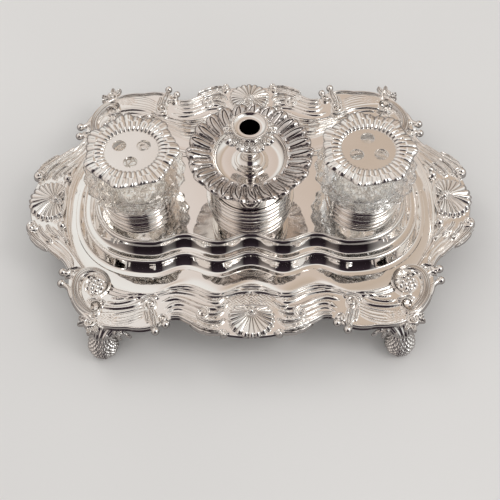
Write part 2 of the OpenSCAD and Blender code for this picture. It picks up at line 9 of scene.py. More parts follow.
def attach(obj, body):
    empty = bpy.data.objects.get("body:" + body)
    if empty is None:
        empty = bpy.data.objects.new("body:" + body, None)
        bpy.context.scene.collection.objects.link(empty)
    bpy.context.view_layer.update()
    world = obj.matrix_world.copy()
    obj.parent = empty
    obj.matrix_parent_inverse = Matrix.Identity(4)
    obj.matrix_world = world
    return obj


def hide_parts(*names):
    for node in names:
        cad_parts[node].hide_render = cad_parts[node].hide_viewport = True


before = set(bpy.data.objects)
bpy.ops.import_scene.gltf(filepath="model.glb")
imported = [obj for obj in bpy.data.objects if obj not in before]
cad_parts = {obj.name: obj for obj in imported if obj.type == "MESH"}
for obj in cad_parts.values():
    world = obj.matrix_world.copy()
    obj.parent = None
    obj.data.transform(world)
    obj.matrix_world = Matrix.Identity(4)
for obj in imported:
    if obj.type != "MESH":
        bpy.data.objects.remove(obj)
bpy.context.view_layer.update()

PI = math.pi
TAU = 2 * PI
MM = 1000       # in one metre

# ---- sizes, in millimetres
TRAY_W, TRAY_D, RIM, DROP, TRAY_T = 300, 212, 28, 6, 1.6
FLOOR, PLAT = 22, 36    # heights of the tray's floor and of the platform's top
FLAT = 0.72             # share of the border's width before its slope begins
CAD_STEP = 7.5          # longest step of the CAD solid's outline
# a quarter of the outline: round lobes (centre x, centre y, radius) with hollow necks between
SIDE_R, CORNER_R, SHOULDER_R, END_R = 56, 36, 23, 80
CORNER_IN, SHOULDER_IN = (68, 42), (80, 28)
NECKS = (24, 20, 10)
LOBES = [
    (TRAY_W / 2 - SIDE_R, 0, SIDE_R),
    (TRAY_W / 2 - CORNER_IN[0], TRAY_D / 2 - CORNER_IN[1], CORNER_R),
    (TRAY_W / 2 - SHOULDER_IN[0], TRAY_D / 2 - SHOULDER_IN[1], SHOULDER_R),
    (0, TRAY_D / 2 - END_R, END_R),
]
PLAT_L, PLAT_D, WAVE_P, WAVE_H = 239, 110.4, 43, 3
TROUGH_W, TROUGH_SIDE, TROUGH_WAVE = 11, 3, 1.15
END_POWER, END_SHARE = 2.3, 0.58
WELL_X = 75.5
COLLAR_H = 14
PLUG_R, POT_R, GAP, SEAT = 20.6, 24.4, 0.4, 0.3
GLASS_R, GLASS_H, MOUTH_R, NECK_T, NECK_H = 33.5, 44, 15.6, 4.4, 4
NECK_R = MOUTH_R + NECK_T
PLATE_R = NECK_R - 0.8
PLATE_T, QUILL_R, QUILL_C, LID_R = 1.6, 4.4, 9, 29.5
POT_H, POT_T = 31, 1.5
PAN_R, PAN_WELL, PAN_DEPTH, PAN_T, PAN_SEAT, PAN_RISE = 40, 24, 6, 1.4, 2, 5
GLASS_TOP = PLAT + GLASS_H
POT_TOP = PLAT + POT_H
PAN_FLOOR = POT_TOP + PAN_SEAT + PAN_T
PAN_RIM = PAN_FLOOR + PAN_DEPTH
STEM_H, TAPER_R, TAPER_D, NOZZLE_R, NOZZLE_H, DRIP_R = 27, 6.4, 15, 11.25, 8, 17
DISH_H, NOZZLE_FLOOR = 1.7, 1
SOCKET_Z = PAN_FLOOR + STEM_H
SPIGOT_R = TAPER_R + 0.9
SOCKET_R = SPIGOT_R + 0.1 + 1.3
SOCKET_DEPTH = TAPER_D + DISH_H + NOZZLE_FLOOR + SEAT - NOZZLE_H
SHELL_R, SHELL_H, FOOT_R = 18.5, 4.5, 9.25
AXIS_R = 0.01           # where an open profile begins and ends
CORNERS = (("front_left", -1, -1), ("front_right", 1, -1), ("back_left", -1, 1), ("back_right", 1, 1))


# ---- curves
def unit(a):
    a = np.radians(a)
    return np.stack([np.cos(a), np.sin(a)], -1)


def neck_centre(p, q, n):
    """Centre of a neck of radius n that touches the lobes p and q from outside."""
    c0, c1 = np.array(p[:2], float), np.array(q[:2], float)
    gap = c1 - c0
    d = np.linalg.norm(gap)
    u = gap / d
    along = ((p[2] + n) ** 2 - (q[2] + n) ** 2 + d * d) / (2 * d)
    return c0 + along * u + math.sqrt((p[2] + n) ** 2 - along ** 2) * np.array([u[1], -u[0]])


NECK_C = [neck_centre(LOBES[i], LOBES[i + 1], NECKS[i]) for i in range(3)]


def angle(v):
    return math.degrees(math.atan2(v[1], v[0]))


LOBE_C = [np.array(l[:2], float) for l in LOBES]
L_START = [0 if i == 0 else angle(NECK_C[i - 1] - LOBE_C[i]) for i in range(4)]
L_END = [90 if i == 3 else angle(NECK_C[i] - LOBE_C[i]) for i in range(4)]


def outline_quarter(fine):
    """Outline of one quarter, sampled so that its parameter runs as in the CAD solid."""
    arcs = []
    for i in range(4):
        arcs.append((LOBE_C[i], LOBES[i][2], L_START[i], L_END[i]))
        if i < 3:
            arcs.append((NECK_C[i], NECKS[i], L_END[i] + 180, L_START[i + 1] + 180))
    parts = []
    for c, r, a0, a1 in arcs:
        n = max(2, math.ceil(abs(a1 - a0) * PI / 180 * r / CAD_STEP)) * fine
        parts.append(c + r * unit(a0 + (a1 - a0) * (np.arange(n) / n)))
    return np.concatenate(parts + [[[0, TRAY_D / 2]]])


def wavy_quarter(n, a, b, amp):
    """A quarter of a wavy outline, a by b from the middle, from the side round to the front."""
    s = np.linspace(0, 1, n)
    x_w = 1.5 * WAVE_P
    f = np.clip(s / END_SHARE, 0, 1) * PI / 2
    e = 2 / END_POWER
    end = np.stack([
        x_w + (a - x_w) * np.clip(np.cos(f), 0, 1) ** e, (b + amp) * np.sin(f) ** e], -1)
    x = x_w * (1 - s) / (1 - END_SHARE)
    front = np.stack([x, b - amp * np.cos(TAU * x / WAVE_P)], -1)
    return np.where((s < END_SHARE)[:, None], end, front)


def trough_quarter(n):
    """Where the tray's border meets its floor."""
    return wavy_quarter(n, PLAT_L / 2 + TROUGH_SIDE, PLAT_D / 2 + TROUGH_W, WAVE_H * TROUGH_WAVE)


def whole(q):
    """The full ring from one quarter, for (n, 2) or (n, k, 3) arrays."""
    def flip(a, *signs):
        return a * [*signs, 1][:q.shape[-1]]
    return np.concatenate([q, flip(q[-2::-1], -1, 1), flip(q[1:], -1, -1), flip(q[-2:0:-1], 1, -1)])


def spline(points, n):
    """Catmull-Rom curve of n points, evenly spaced, through points of any dimension."""
    p = np.array(points, float)
    p = np.concatenate([[2 * p[0] - p[1]], p, [2 * p[-1] - p[-2]]])
    t = np.linspace(0, 1, 24, endpoint=False)[:, None]
    out = [0.5 * (2 * b + (c - a) * t + (2 * a - 5 * b + 4 * c - d) * t ** 2
                  + (3 * b - a - 3 * c + d) * t ** 3) for a, b, c, d in zip(p, p[1:], p[2:], p[3:])]
    q = np.concatenate(out + [p[-2][None]])
    step = np.linalg.norm(np.diff(q, axis=0), axis=1)
    s = np.concatenate([[0], np.cumsum(step)])
    want = np.linspace(0, s[-1], n)
    return np.stack([np.interp(want, s, q[:, k]) for k in range(q.shape[1])], -1)


def spiral(centre, r0, r1, a0, a1, n):
    k = np.linspace(0, 1, n)
    return np.array(centre, float) + (r0 + (r1 - r0) * k)[:, None] * unit(a0 + (a1 - a0) * k)


def edge(i, inset, a0, a1, n):
    """Points along lobe i of the outline, inset from it."""
    return LOBE_C[i] + (LOBES[i][2] - inset) * unit(np.linspace(a0, a1, n))


def neck(i, inset, n, lo=0.0, hi=1.0):
    """Points along a share of the neck that follows lobe i."""
    a0, a1 = L_END[i] + 180, L_START[i + 1] + 180
    return NECK_C[i] + (NECKS[i] + inset) * unit(a0 + (a1 - a0) * np.linspace(lo, hi, n))


# ---- meshes
def add_object(name, data):
    ob = bpy.data.objects.new(name, data)
    bpy.context.scene.collection.objects.link(ob)
    return ob


def build(name, part, material, body, nodes, sharp=None, second=None):
    """A smooth mesh piece from millimetres that rides on a body and stands for CAD nodes; second is
    a further material and a test of a face's middle, in metres, that says where it goes."""
    me = bpy.data.meshes.new(name)
    me.from_pydata((part[0] / MM).tolist(), [], part[1])
    me.update()
    bm = bmesh.new()
    bm.from_mesh(me)
    bmesh.ops.recalc_face_normals(bm, faces=bm.faces)
    bm.to_mesh(me)
    bm.free()
    me.materials.append(material)
    if second:
        me.materials.append(second[0])
        for p in me.polygons:
            p.material_index = int(second[1](p.center))
    me.polygons.foreach_set("use_smooth", [True] * len(me.polygons))
    if sharp:
        me.set_sharp_from_angle(angle=math.radians(sharp))
    ob = add_object(name, me)
    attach(ob, body)
    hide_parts(*nodes)


def grid_faces(n, m, close_n=True, close_m=False):
    """Quads on an n by m grid of points, closed either way round or not."""
    i = np.arange(n if close_n else n - 1)
    j = np.arange(m if close_m else m - 1)
    I, J = (g.ravel() for g in np.meshgrid(i, j, indexing="ij"))
    I2, J2 = (I + 1) % n, (J + 1) % m
    return np.stack([I * m + J, I2 * m + J, I2 * m + J2, I * m + J2], -1).tolist()


def caps(n, m, *columns):
    """Faces across columns of an n by m grid that is closed the first way round."""
    return [[i * m + k for i in range(n)] for k in columns]


def ring_part(*grids):
    """A part with a closed section, from grids of points (round, along, 3) side by side."""
    stack = np.concatenate(grids, 1)
    return stack.reshape(-1, 3), grid_faces(*stack.shape[:2], True, True)


def around(n, m, start=0):
    """Angle round an axis and share of the way outwards, as n by m grids."""
    return np.meshgrid(np.linspace(0, TAU, n, endpoint=False), np.linspace(start, 1, m), indexing="ij")


def polar(r, a, z, x=0):
    """Points about the upright axis at x."""
    return np.stack([x + r * np.cos(a), r * np.sin(a), z], -1)


def level(points, z):
    """Plan points at one height."""
    return np.concatenate([points, np.full((len(points), 1), z)], -1)


def merge(parts):
    """Joins (verts, faces) parts."""
    verts, faces, k = [], [], 0
    for v, f in parts:
        verts.append(v)
        faces += [[i + k for i in q] for q in f]
        k += len(v)
    return np.concatenate(verts), faces


def mirrored(part, sx, sy):
    v, f = part
    return v * [sx, sy, 1], f


def placed(part, turn, move):
    """A part turned by degrees about the upright axis, then moved."""
    v, f = part
    c, s = math.cos(math.radians(turn)), math.sin(math.radians(turn))
    x, y = v[:, 0] * c - v[:, 1] * s, v[:, 0] * s + v[:, 1] * c
    return np.stack([x + move[0], y + move[1], v[:, 2] + move[2]], -1), f


def round_profile(points, radius):
    """Rounds each corner of a closed profile by radius, so that every edge takes a highlight."""
    p = [np.array(q, float) for q in points]
    out = []
    for i, b in enumerate(p):
        a, c = p[i - 1], p[(i + 1) % len(p)]
        u, w = a - b, c - b
        lu, lw = np.linalg.norm(u), np.linalg.norm(w)
        turn = abs(u[0] * w[1] - u[1] * w[0]) / (lu * lw + 1e-9)
        if turn < 0.2 or b[0] < 1e-6:
            out.append(b)
            continue
        r = min(radius, 0.45 * lu, 0.45 * lw)
        s, e = b + u / lu * r, b + w / lw * r
        for t in np.linspace(0, 1, 4):
            out.append((1 - t) ** 2 * s + 2 * t * (1 - t) * b + t * t * e)
    return np.array(out)


def arc_points(c, r, a0, a1, n):
    return [tuple(np.array(c) + r * unit(a)) for a in np.linspace(a0, a1, n)]


def sweep(path, width, profile, base=RIM):
    """A band on a plan path: half its width, a number or a function of s, and its height,
    profile(u, s), for u in -1..1 across it and s in 0..1 along it; base is one height or many."""
    path = np.array(path, float)
    n = len(path)
    s = np.linspace(0, 1, n)
    tan = np.gradient(path, axis=0)
    tan /= np.linalg.norm(tan, axis=1)[:, None] + 1e-9
    side = np.stack([tan[:, 1], -tan[:, 0]], -1)
    w = np.array([width(t) for t in s]) if callable(width) else np.full(n, float(width))
    u = np.concatenate([[-1], np.linspace(-1, 1, 19), [1]])
    m = len(u)
    H = profile(*np.meshgrid(u, s))
    H[:, 0] = H[:, -1] = 0
    v = np.zeros((n, m, 3))
    v[..., :2] = path[:, None, :] + side[:, None, :] * (u[None, :] * w[:, None])[..., None]
    v[..., 2] = (base if np.isscalar(base) else base[:, None]) + H
    ends = [list(range(m)), list(range((n - 1) * m, n * m))]
    return v.reshape(-1, 3), grid_faces(n, m, False, True) + ends


def ball(centre, r, n=22):
    a = np.linspace(0, TAU, n, endpoint=False)
    b = np.linspace(-PI / 2, PI / 2, n // 2 + 1)[1:-1]
    v = [[centre[0], centre[1], centre[2] - r]]
    for t in b:
        v += (centre + r * np.stack([math.cos(t) * np.cos(a), math.cos(t) * np.sin(a),
                                     np.full(n, math.sin(t))], -1)).tolist()
    v.append([centre[0], centre[1], centre[2] + r])
    last = len(v) - 1
    sides = [(i, (i + 1) % n) for i in range(n)]
    f = [[j + i, j + k, j + n + k, j + n + i] for j in range(1, last - n, n) for i, k in sides]
    for i, k in sides:
        f += [[0, 1 + k, 1 + i], [last, last - n + i, last - n + k]]
    return np.array(v), f


# ---- materials
def feed(tree, node, values):
    """Gives a node's inputs, by name or number, a number, a colour or another node's output."""
    for key, value in values.items():
        if isinstance(value, tuple):
            node.inputs[key].default_value = (*value, 1)
        elif isinstance(value, (int, float)):
            node.inputs[key].default_value = value
        else:
            tree.links.new(value, node.inputs[key])


def add_node(tree, kind, values, output=0, **settings):
    """A shader node with its settings and inputs; returns one of its outputs."""
    n = tree.nodes.new("ShaderNode" + kind)
    for key, value in settings.items():
        setattr(n, key, value)
    feed(tree, n, values)
    return n.outputs[output]


def material(name):
    """A material, its tree, its shader and the object's own coordinates."""
    m = bpy.data.materials.new(name)
    m.use_nodes = True
    nt = m.node_tree
    nt.nodes.clear()
    out = nt.nodes.new("ShaderNodeOutputMaterial")
    bsdf = nt.nodes.new("ShaderNodeBsdfPrincipled")
    nt.links.new(bsdf.outputs[0], out.inputs[0])
    return m, nt, bsdf, add_node(nt, "TexCoord", {}, "Object")


def ramp(tree, source, stops):
    r = tree.nodes.new("ShaderNodeValToRGB")
    elements = r.color_ramp.elements
    for i in (0, -1):
        elements[i].position, elements[i].color = stops[i][0], (*stops[i][1], 1)
    for p, c in stops[1:-1]:
        elements.new(p).color = (*c, 1)
    tree.links.new(source, r.inputs[0])
    return r.outputs[0]


def noise(tree, coords, scale, detail):
    return add_node(tree, "TexNoise", {"Vector": coords, "Scale": scale, "Detail": detail})


def cut_cells(tree, coords, scale, feature):
    return add_node(tree, "TexVoronoi", {"Vector": coords, "Scale": scale}, "Distance", feature=feature)


def spread(tree, value, low, high, start=0.0, end=1.0):
    """Maps start..end to low..high."""
    return add_node(tree, "MapRange", {
        "Value": value, "From Min": start, "From Max": end, "To Min": low, "To Max": high})


def bumps(tree, height, strength, distance):
    return add_node(tree, "Bump", {"Strength": strength, "Distance": distance, "Height": height})


def blend_colour(tree, factor, a, b, mode="MIX"):
    return add_node(tree, "Mix", {0: factor, 6: a, 7: b}, 2, data_type="RGBA", blend_type=mode)


def glossy_ray(tree):
    return add_node(tree, "LightPath", {}, "Is Glossy Ray")


def silver(name, light, warm, patina, rough, bump, metallic=1.0):
    """Silver clouded from warm to light; patina, two stops of Pointiness and a colour, darkens it
    in the hollows."""
    m, nt, shader, coords = material(name)
    colour = ramp(nt, noise(nt, coords, 22, 4), [(0.32, warm), (0.62, light)])
    if patina:
        deep, high, tone = patina
        edges = add_node(nt, "NewGeometry", {}, "Pointiness")
        hollow = ramp(nt, edges, [(deep, (0, 0, 0)), (high, (1, 1, 1))])
        colour = blend_colour(nt, hollow, tone, colour)
    feed(nt, shader, {
        "Metallic": metallic, "Base Color": colour,
        "Roughness": spread(nt, noise(nt, coords, 160, 3), *rough, 0.3, 0.7),
        "Normal": bumps(nt, noise(nt, coords, 90, 2), bump, 0.0004)})
    return m


def crystal(name, tint, line):
    """Cut crystal: facets, with a darker line round each."""
    m, nt, shader, coords = material(name)
    edges = cut_cells(nt, coords, 150, "DISTANCE_TO_EDGE")
    facets = bumps(nt, cut_cells(nt, coords, 190, "F1"), 0.5, 0.0022)
    feed(nt, shader, {
        "Transmission Weight": 1.0, "IOR": 1.16, "Alpha": 0.9,
        "Coat Weight": 1.0, "Coat IOR": 1.6, "Coat Roughness": 0.02,
        "Base Color": ramp(nt, edges, [(0.0, line), (0.07, tint), (0.2, (0.99, 0.995, 0.995))]),
        "Roughness": spread(nt, noise(nt, coords, 60, 2), 0.0, 0.06),
        "Normal": facets, "Coat Normal": facets})
    return m


def painted_glow_ground_glass(name):
    """The star-cut foot of a well, with a painted glow: it emits its own colour, standing in for the light
    that cut crystal pipes to it.
    """
    m, nt, shader, coords = material(name)
    colour = ramp(nt, cut_cells(nt, coords, 240, "DISTANCE_TO_EDGE"), [
        (0.0, (0.34, 0.29, 0.25)), (0.08, (0.66, 0.62, 0.57)), (0.24, (0.88, 0.87, 0.84))])
    # its colour is emitted too: a painted glow, standing in for light the crystal brings in
    feed(nt, shader, {
        "Base Color": colour, "Emission Color": colour, "Emission Strength": 0.36,
        "Roughness": spread(nt, noise(nt, coords, 300, 2), 0.25, 0.5)})
    return m


POLISHED = silver("polished_silver", (0.94, 0.92, 0.90), (0.90, 0.87, 0.84), None, (0.02, 0.06), 0.015)
BURNISHED = silver("burnished_silver", (0.94, 0.92, 0.90), (0.88, 0.85, 0.82), None, (0.04, 0.12), 0.03)
CHASED = silver("chased_silver", (0.95, 0.93, 0.91), (0.90, 0.87, 0.84),
                (0.39, 0.492, (0.36, 0.31, 0.28)), (0.05, 0.14), 0.05)
CAST = silver("cast_silver", (0.96, 0.945, 0.93), (0.90, 0.875, 0.85),
              (0.415, 0.502, (0.13, 0.11, 0.10)), (0.06, 0.18), 0.08)
DARK_CAST = silver("shadowed_cast_silver", (0.80, 0.765, 0.745), (0.62, 0.575, 0.555),
                   (0.445, 0.515, (0.05, 0.036, 0.04)), (0.08, 0.2), 0.10)
# lighter copy of cast silver, with paler patina, for the feet: painted light that brightens them under the
# tray
FOOT_LIT_CAST = silver("foot_lit_cast_silver", (0.97, 0.96, 0.95), (0.90, 0.88, 0.86),
                   (0.36, 0.48, (0.24, 0.21, 0.21)), (0.08, 0.2), 0.16)
# painted shade: near-black silver for the nozzle's deep bore, which lies in shade
BORE_PAINTED_SHADE = silver("painted_shade_bore", (0.045, 0.038, 0.036), (0.02, 0.017, 0.016), None, (0.3, 0.5), 0.2)
UNPOLISHED = silver("unpolished_silver", (0.88, 0.86, 0.84), (0.80, 0.77, 0.74), None, (0.4, 0.6), 0.1,
                    metallic=0.25)
GLOW_PAINTED_GROUND = painted_glow_ground_glass("painted_glow_ground_glass")
CRYSTAL_L = crystal("cut_crystal_warm", (0.96, 0.945, 0.92), (0.82, 0.765, 0.71))
CRYSTAL_R = crystal("cut_crystal_clear", (0.975, 0.99, 1.0), (0.86, 0.90, 0.94))


# ---- turned and cast pieces
def turned(node, how, profile, n, body, x=0, closed=False, material=POLISHED, second=None):
    """A turned silver piece about the upright axis at x, from (r, z) points; a closed profile is
    a ring's section, an open one begins and ends next to the axis."""
    p = np.array(profile, float)
    a = np.linspace(0, TAU, n, endpoint=False)[:, None]
    v = polar(p[:, 0], a, np.tile(p[:, 1], (n, 1)), x)
    part = v.reshape(-1, 3), grid_faces(n, len(p), True, closed)
    build(node + how, part, material, body, [node], sharp=30, second=second)


def cast_piece(node, part, material=CAST, body="stand"):
    build(node + "_cast", part, material, body, [node], sharp=60)


# ---- relief of the border
def smooth(x):
    x = np.clip(x, 0, 1)
    return x * x * (3 - 2 * x)


def wave(x, power=1):
    return np.abs(np.sin(x)) ** power


def dome(u, power=0.5, shape=2):
    return np.clip(1 - u ** shape, 0, 1) ** power


def bell(x, width):
    return np.exp(-(x / width) ** 2)


def rounded(t, x, y):
    """Interpolates between knots with flat tops and bottoms, as rolled reeds have."""
    i = np.clip(np.searchsorted(x, t, side="right") - 1, 0, len(x) - 2)
    k = smooth((t - x[i]) / (x[i + 1] - x[i]))
    return y[i] * (1 - k) + y[i + 1] * k


def stroke_field(X, Y, path, half, height, taper):
    """Height added by a band along path at the points X, Y; taper is the share that each end fades
    over."""
    out = np.zeros_like(X)
    (x0, y0), (x1, y1) = path.min(0) - half, path.max(0) + half
    near = (X > x0) & (X < x1) & (Y > y0) & (Y < y1)
    if not near.any():
        return out
    P = np.stack([X[near], Y[near]], -1)
    best = np.full(len(P), 1e9)
    where = np.zeros(len(P))
    n = len(path) - 1
    for i in range(n):
        a, b = path[i], path[i + 1]
        d = b - a
        t = np.clip(((P - a) @ d) / (d @ d + 1e-12), 0, 1)
        dist = np.linalg.norm(P - a - t[:, None] * d, axis=1)
        hit = dist < best
        best[hit] = dist[hit]
        where[hit] = (i + t[hit]) / n
    fade = smooth(where / taper) * smooth((1 - where) / taper) if taper else 1.0
    u = best / (half * (0.35 + 0.65 * fade))
    out[near] = height * dome(u, 0.85) * (0.3 + 0.7 * fade)
    return out


REEDS = []


def reed(points, half, height, n=60, taper=0.12):
    REEDS.append((spline(points, n), half, height, taper))


# reeds that run from the side leaf round the hollow neck to the corner curl
reed([(141, 27), (135.5, 34.5), (128.5, 40.5), (122.6, 46.6), (118.6, 53)], 1.2, 1.6)
reed([(137.5, 24), (131.8, 31.5), (125.2, 37.5), (119.5, 44), (116, 51.4)], 1.1, 1.4)
reed([(133, 21), (128, 28.5), (121.8, 35.5), (116.5, 42), (112, 49.2)], 1.3, 1.4)
reed([(129.5, 17), (125.5, 25), (119.6, 32), (113.4, 39), (106.5, 46)], 0.8, 0.9)
reed([(125.6, 19), (122, 27), (116.4, 34.4), (109.6, 41.4)], 0.7, 0.5)
# frame behind the side shell
for dx, h in ((0, 1.3), (2.9, 1.0), (5.6, 0.7)):
    reed([(127.6 - dx, -1), (127.4 - dx, 7), (128.4 - dx, 13), (127 - dx, 19), (122.5 - 0.6 * dx, 27)],
         0.95, h, taper=0)
# arched frame over the end shell, and the reeds that lead from it to the corner
reed([(-1, 72.6), (9, 73), (14.5, 74.8), (18, 77.6), (21.3, 80.4), (27, 79.4), (36, 74.6), (48, 72.4),
      (57, 74), (64, 77.5)], 1.3, 0.95, n=110, taper=0.04)
reed([(-1, 70), (9, 70.2), (15.5, 71.6), (19.5, 74.2), (22.5, 76), (28, 75), (37, 71.2),
      (48, 69.8), (59, 71.6), (68, 74.6), (76, 76)], 0.9, 0.75, n=110, taper=0.04)
reed([(-1, 67.6), (8, 67.8), (16, 69.2), (21, 71.8), (28, 71), (37, 68), (48, 67.2), (58, 69),
      (68, 71.8), (80, 72.6), (90, 70.4)], 0.7, 0.5, n=110, taper=0.04)
reed([(17.5, 81.4), (21, 84.6), (31, 83.6), (42, 78.6), (49, 77.2), (56, 79.4)], 1.5, 1.1, n=80)
reed([(20, 87.6), (28, 88), (38, 83.8), (43, 81.6), (48.5, 81.4), (54, 84.6)], 1.5, 1.0, n=80)
reed([(25, 92.4), (31, 91.2), (38, 87.6), (44, 85), (49, 85), (53, 88)], 1.0, 0.75, n=70)
reed([(34, 95.6), (41, 92), (46.4, 89.6), (51, 90.4)], 0.9, 0.65, n=50)
# reeds inside the corner scroll, running on to the shoulder knot
reed([(96.5, 82), (90, 83.6), (84, 84), (75.5, 82.6), (69, 79)], 1.3, 1.2, n=70)
for off, h in ((2.7, 0.5), (5.0, 0.35), (7.6, 0.35), (9.8, 0.4), (11.6, 0.35)):
    reed([(98 + 0.3 * off, 86 + 0.6 * off), (91, 86 + 0.72 * off), (84, 84.6 + off), (75, 82.6 + off),
          (68, 79.6 + 0.9 * off)], 0.75, h, n=70)
reed([(92, 79.4), (86, 80.6), (78, 79.2), (71, 75.8)], 0.8, 1.0, n=60)
reed([(90, 76.4), (84, 77.2), (77, 75.6), (71, 72.8)], 0.55, 0.6, n=60)
# reeds that follow the corner scroll's outer side
reed([(118.6, 60), (118.8, 68), (116.2, 76.6), (111.2, 84.4), (105.4, 90.6)], 0.8, 1.1, n=80)


def border_relief(X, Y):
    X, Y = np.abs(X), np.abs(Y)
    z = np.zeros_like(X)
    for path, half, height, taper in REEDS:
        z = np.maximum(z, stroke_field(X, Y, path, half, height, taper))
    # matted ground beside the end shell and round the corner curl
    mat = (np.sin(X * 3.1 + 0.7 * np.sin(Y * 1.3)) * np.sin(Y * 3.4 + 0.9 * np.sin(X * 1.1)))
    for cx, cy, rx, ry in ((30, 95, 8, 4.5), (0, 82, 14, 8), (20, 77.5, 3.5, 2.2), (101, 79, 4, 3),
                           (129, 14, 5, 4), (92, 92, 7, 4)):
        spot = smooth(1.6 - np.hypot((X - cx) / rx, (Y - cy) / ry))
        z = np.maximum(z, 0.75 * spot * (0.5 + 0.5 * mat))
    return z


# the slope down to the trough carries two bold reeds: share of the slope, share of the drop
SLOPE = [(0, 0), (0.1, 0.16), (0.3, 0.0), (0.46, 0.32), (0.64, 0.2), (0.8, 0.66), (1, 1)]
BORDER_TOP = np.array([[0, 0.15], [0.02, 0]] + [[FLAT + (1 - FLAT) * a, b] for a, b in SLOPE])
# the under side: share of the whole width, share of the drop
BORDER_UNDER = [[1, 1], [FLAT + 0.6 * (1 - FLAT), 0.55], [FLAT, 0.02], [0.01, 0.02]]


def tray_border():
    out_q = outline_quarter(12)
    tr_q = trough_quarter(len(out_q))
    ts = np.concatenate([[0, 0.006, 0.014], np.linspace(0.024, FLAT, 54)[:-1], np.linspace(FLAT, 1, 40)])
    q = out_q[:, None, :] * (1 - ts)[None, :, None] + tr_q[:, None, :] * ts[None, :, None]
    drop = DROP * rounded(ts, *BORDER_TOP.T)
    relief = border_relief(q[..., 0], q[..., 1])
    # the relief fades out at the edge and at the trough, and is lower on the slope
    keep = smooth(ts / 0.04) * (1 - 0.65 * smooth((ts - FLAT) / 0.06)) * smooth((1 - ts) / 0.1)
    z = RIM - drop[None, :] + relief * keep[None, :]
    rows = [np.concatenate([q, z[..., None]], -1)]
    for t, d in BORDER_UNDER:
        rows.append(level(out_q * (1 - t) + tr_q * t, RIM - DROP * d - TRAY_T)[:, None, :])
    build("tray_border_chased", ring_part(whole(np.concatenate(rows, 1))), CHASED, "stand",
          ["tray_border"], sharp=50)


def tray_floor():
    rim = whole(trough_quarter(len(outline_quarter(6))))
    scales = [1.0, 0.995, 0.9, 0.7, 0.4, 0.1]
    # the edge dips a little, to lie under the border's
    rings = [level(rim * s, FLOOR - (0.12 if s == 1 else 0)) for s in scales]
    rings += [level(rim * s, FLOOR - TRAY_T) for s in scales[::-1]]
    v, f = ring_part(np.stack(rings, 1))
    f += caps(len(rim), len(rings), len(scales) - 1, len(scales))
    build("tray_floor_sheet", (v, f), POLISHED, "stand", ["tray_floor"], sharp=40)


# how far in at the side, how far in at the front, height in steps: two steps with a rolled lip each
PLAT_ROWS = np.array([
    [0, 0, 0], [0.3, 0.4, 0.08], [2.4, 3.0, 0.12], [3.1, 3.9, 0.2], [4.2, 5.3, 0.46], [5.3, 6.7, 0.76],
    [5.9, 7.5, 0.94], [6.4, 8.2, 1.03], [7.1, 9.2, 1.05], [7.7, 10.1, 1.01], [8, 10.6, 0.95],
    [10, 13.2, 0.97], [10.7, 13.9, 1.02], [11.9, 15.1, 1.26], [13.3, 16.6, 1.62], [14.5, 17.8, 1.94],
    [15.1, 18.5, 2.04], [15.7, 19, 2.06], [16.3, 19.6, 2.03], [16.6, 20, 1.98]])
STEP = (PLAT - FLOOR) / 2


def platform():
    rows = np.concatenate([PLAT_ROWS[:1], spline(PLAT_ROWS[1:11], 42)[:-1],
                           spline(PLAT_ROWS[10:], 42)[:-1], PLAT_ROWS[-1:]])

    def ring(side, front, z):
        return level(whole(wavy_quarter(230, PLAT_L / 2 - side, PLAT_D / 2 - front, WAVE_H)), z)
    rings = [ring(a, b, FLOOR + STEP * h) for a, b, h in rows]
    rings += [rings[-1] * [s, s, 0] + [0, 0, PLAT] for s in (0.995, 0.985, 0.9, 0.6, 0.2)]
    inner = [ring(a + 3 * TRAY_T, b + 3 * TRAY_T, max(FLOOR, FLOOR + STEP * round(h) - TRAY_T))
             for a, b, h in PLAT_ROWS[[19, 10, 0]]]
    hub = inner[0] * [0.2, 0.2, 1]
    v, f = ring_part(np.stack(rings + [hub] + inner, 1))
    # the top's middle and the one below it are closed, and not joined to each other
    k, m = len(rings), len(rings) + 1 + len(inner)
    f = [q for q in f if {i % m for i in q} != {k - 1, k}] + caps(len(hub), m, k - 1, k)
    build("platform_wavy", (v, f), POLISHED, "stand", ["platform"], sharp=35)


# ---- border ornaments
def bead(height):
    """Profile of a plain round band."""
    return lambda U, S: height * dome(U)


def reeded(n, deep):
    """Profile of a band with n reeds side by side."""
    return lambda U, S: dome(U, 0.4) * (1 - deep + deep * np.cos(PI * n * U) ** 2)


def leaf_lobes(U, S, lobes):
    return wave(PI * lobes * (S - 0.09 * np.abs(U)), 0.55)


def leaf_part(path, width, height, lobes, base=RIM):
    """An acanthus leaf on a plan path: three strands side by side, softly lobed."""
    def w(t):
        body = math.sin(PI * min(1, 0.14 + 0.86 * t)) ** 0.6 if t < 1 else 0.25
        return width * (0.2 + 0.8 * body) * (0.86 + 0.14 * abs(math.sin(PI * lobes * t)) ** 0.6)

    def profile(U, S):
        strands = 0.74 + 0.26 * np.cos(1.5 * PI * U) ** 2
        ends = smooth(S / 0.08) * smooth((1 - S) / 0.1)
        return (height * dome(U, 0.42) * strands * (0.93 + 0.07 * leaf_lobes(U, S, lobes))
                * (0.25 + 0.75 * ends))
    return sweep(spline(path, 100), w, profile, base)


def leaf_on(path, width, height, lobes, base):
    """A ribbed leaf on an even path, with a base height for each point."""
    def w(t):
        body = 0.3 + 0.7 * math.sin(PI * (0.12 + 0.82 * t))
        return width * body * (0.7 + 0.3 * abs(math.sin(PI * lobes * t)))

    def profile(U, S):
        return height * (dome(U) * (0.5 + 0.5 * leaf_lobes(U, S, lobes)) + 0.25 * bell(U, 0.15))
    return sweep(path, w, profile, base)


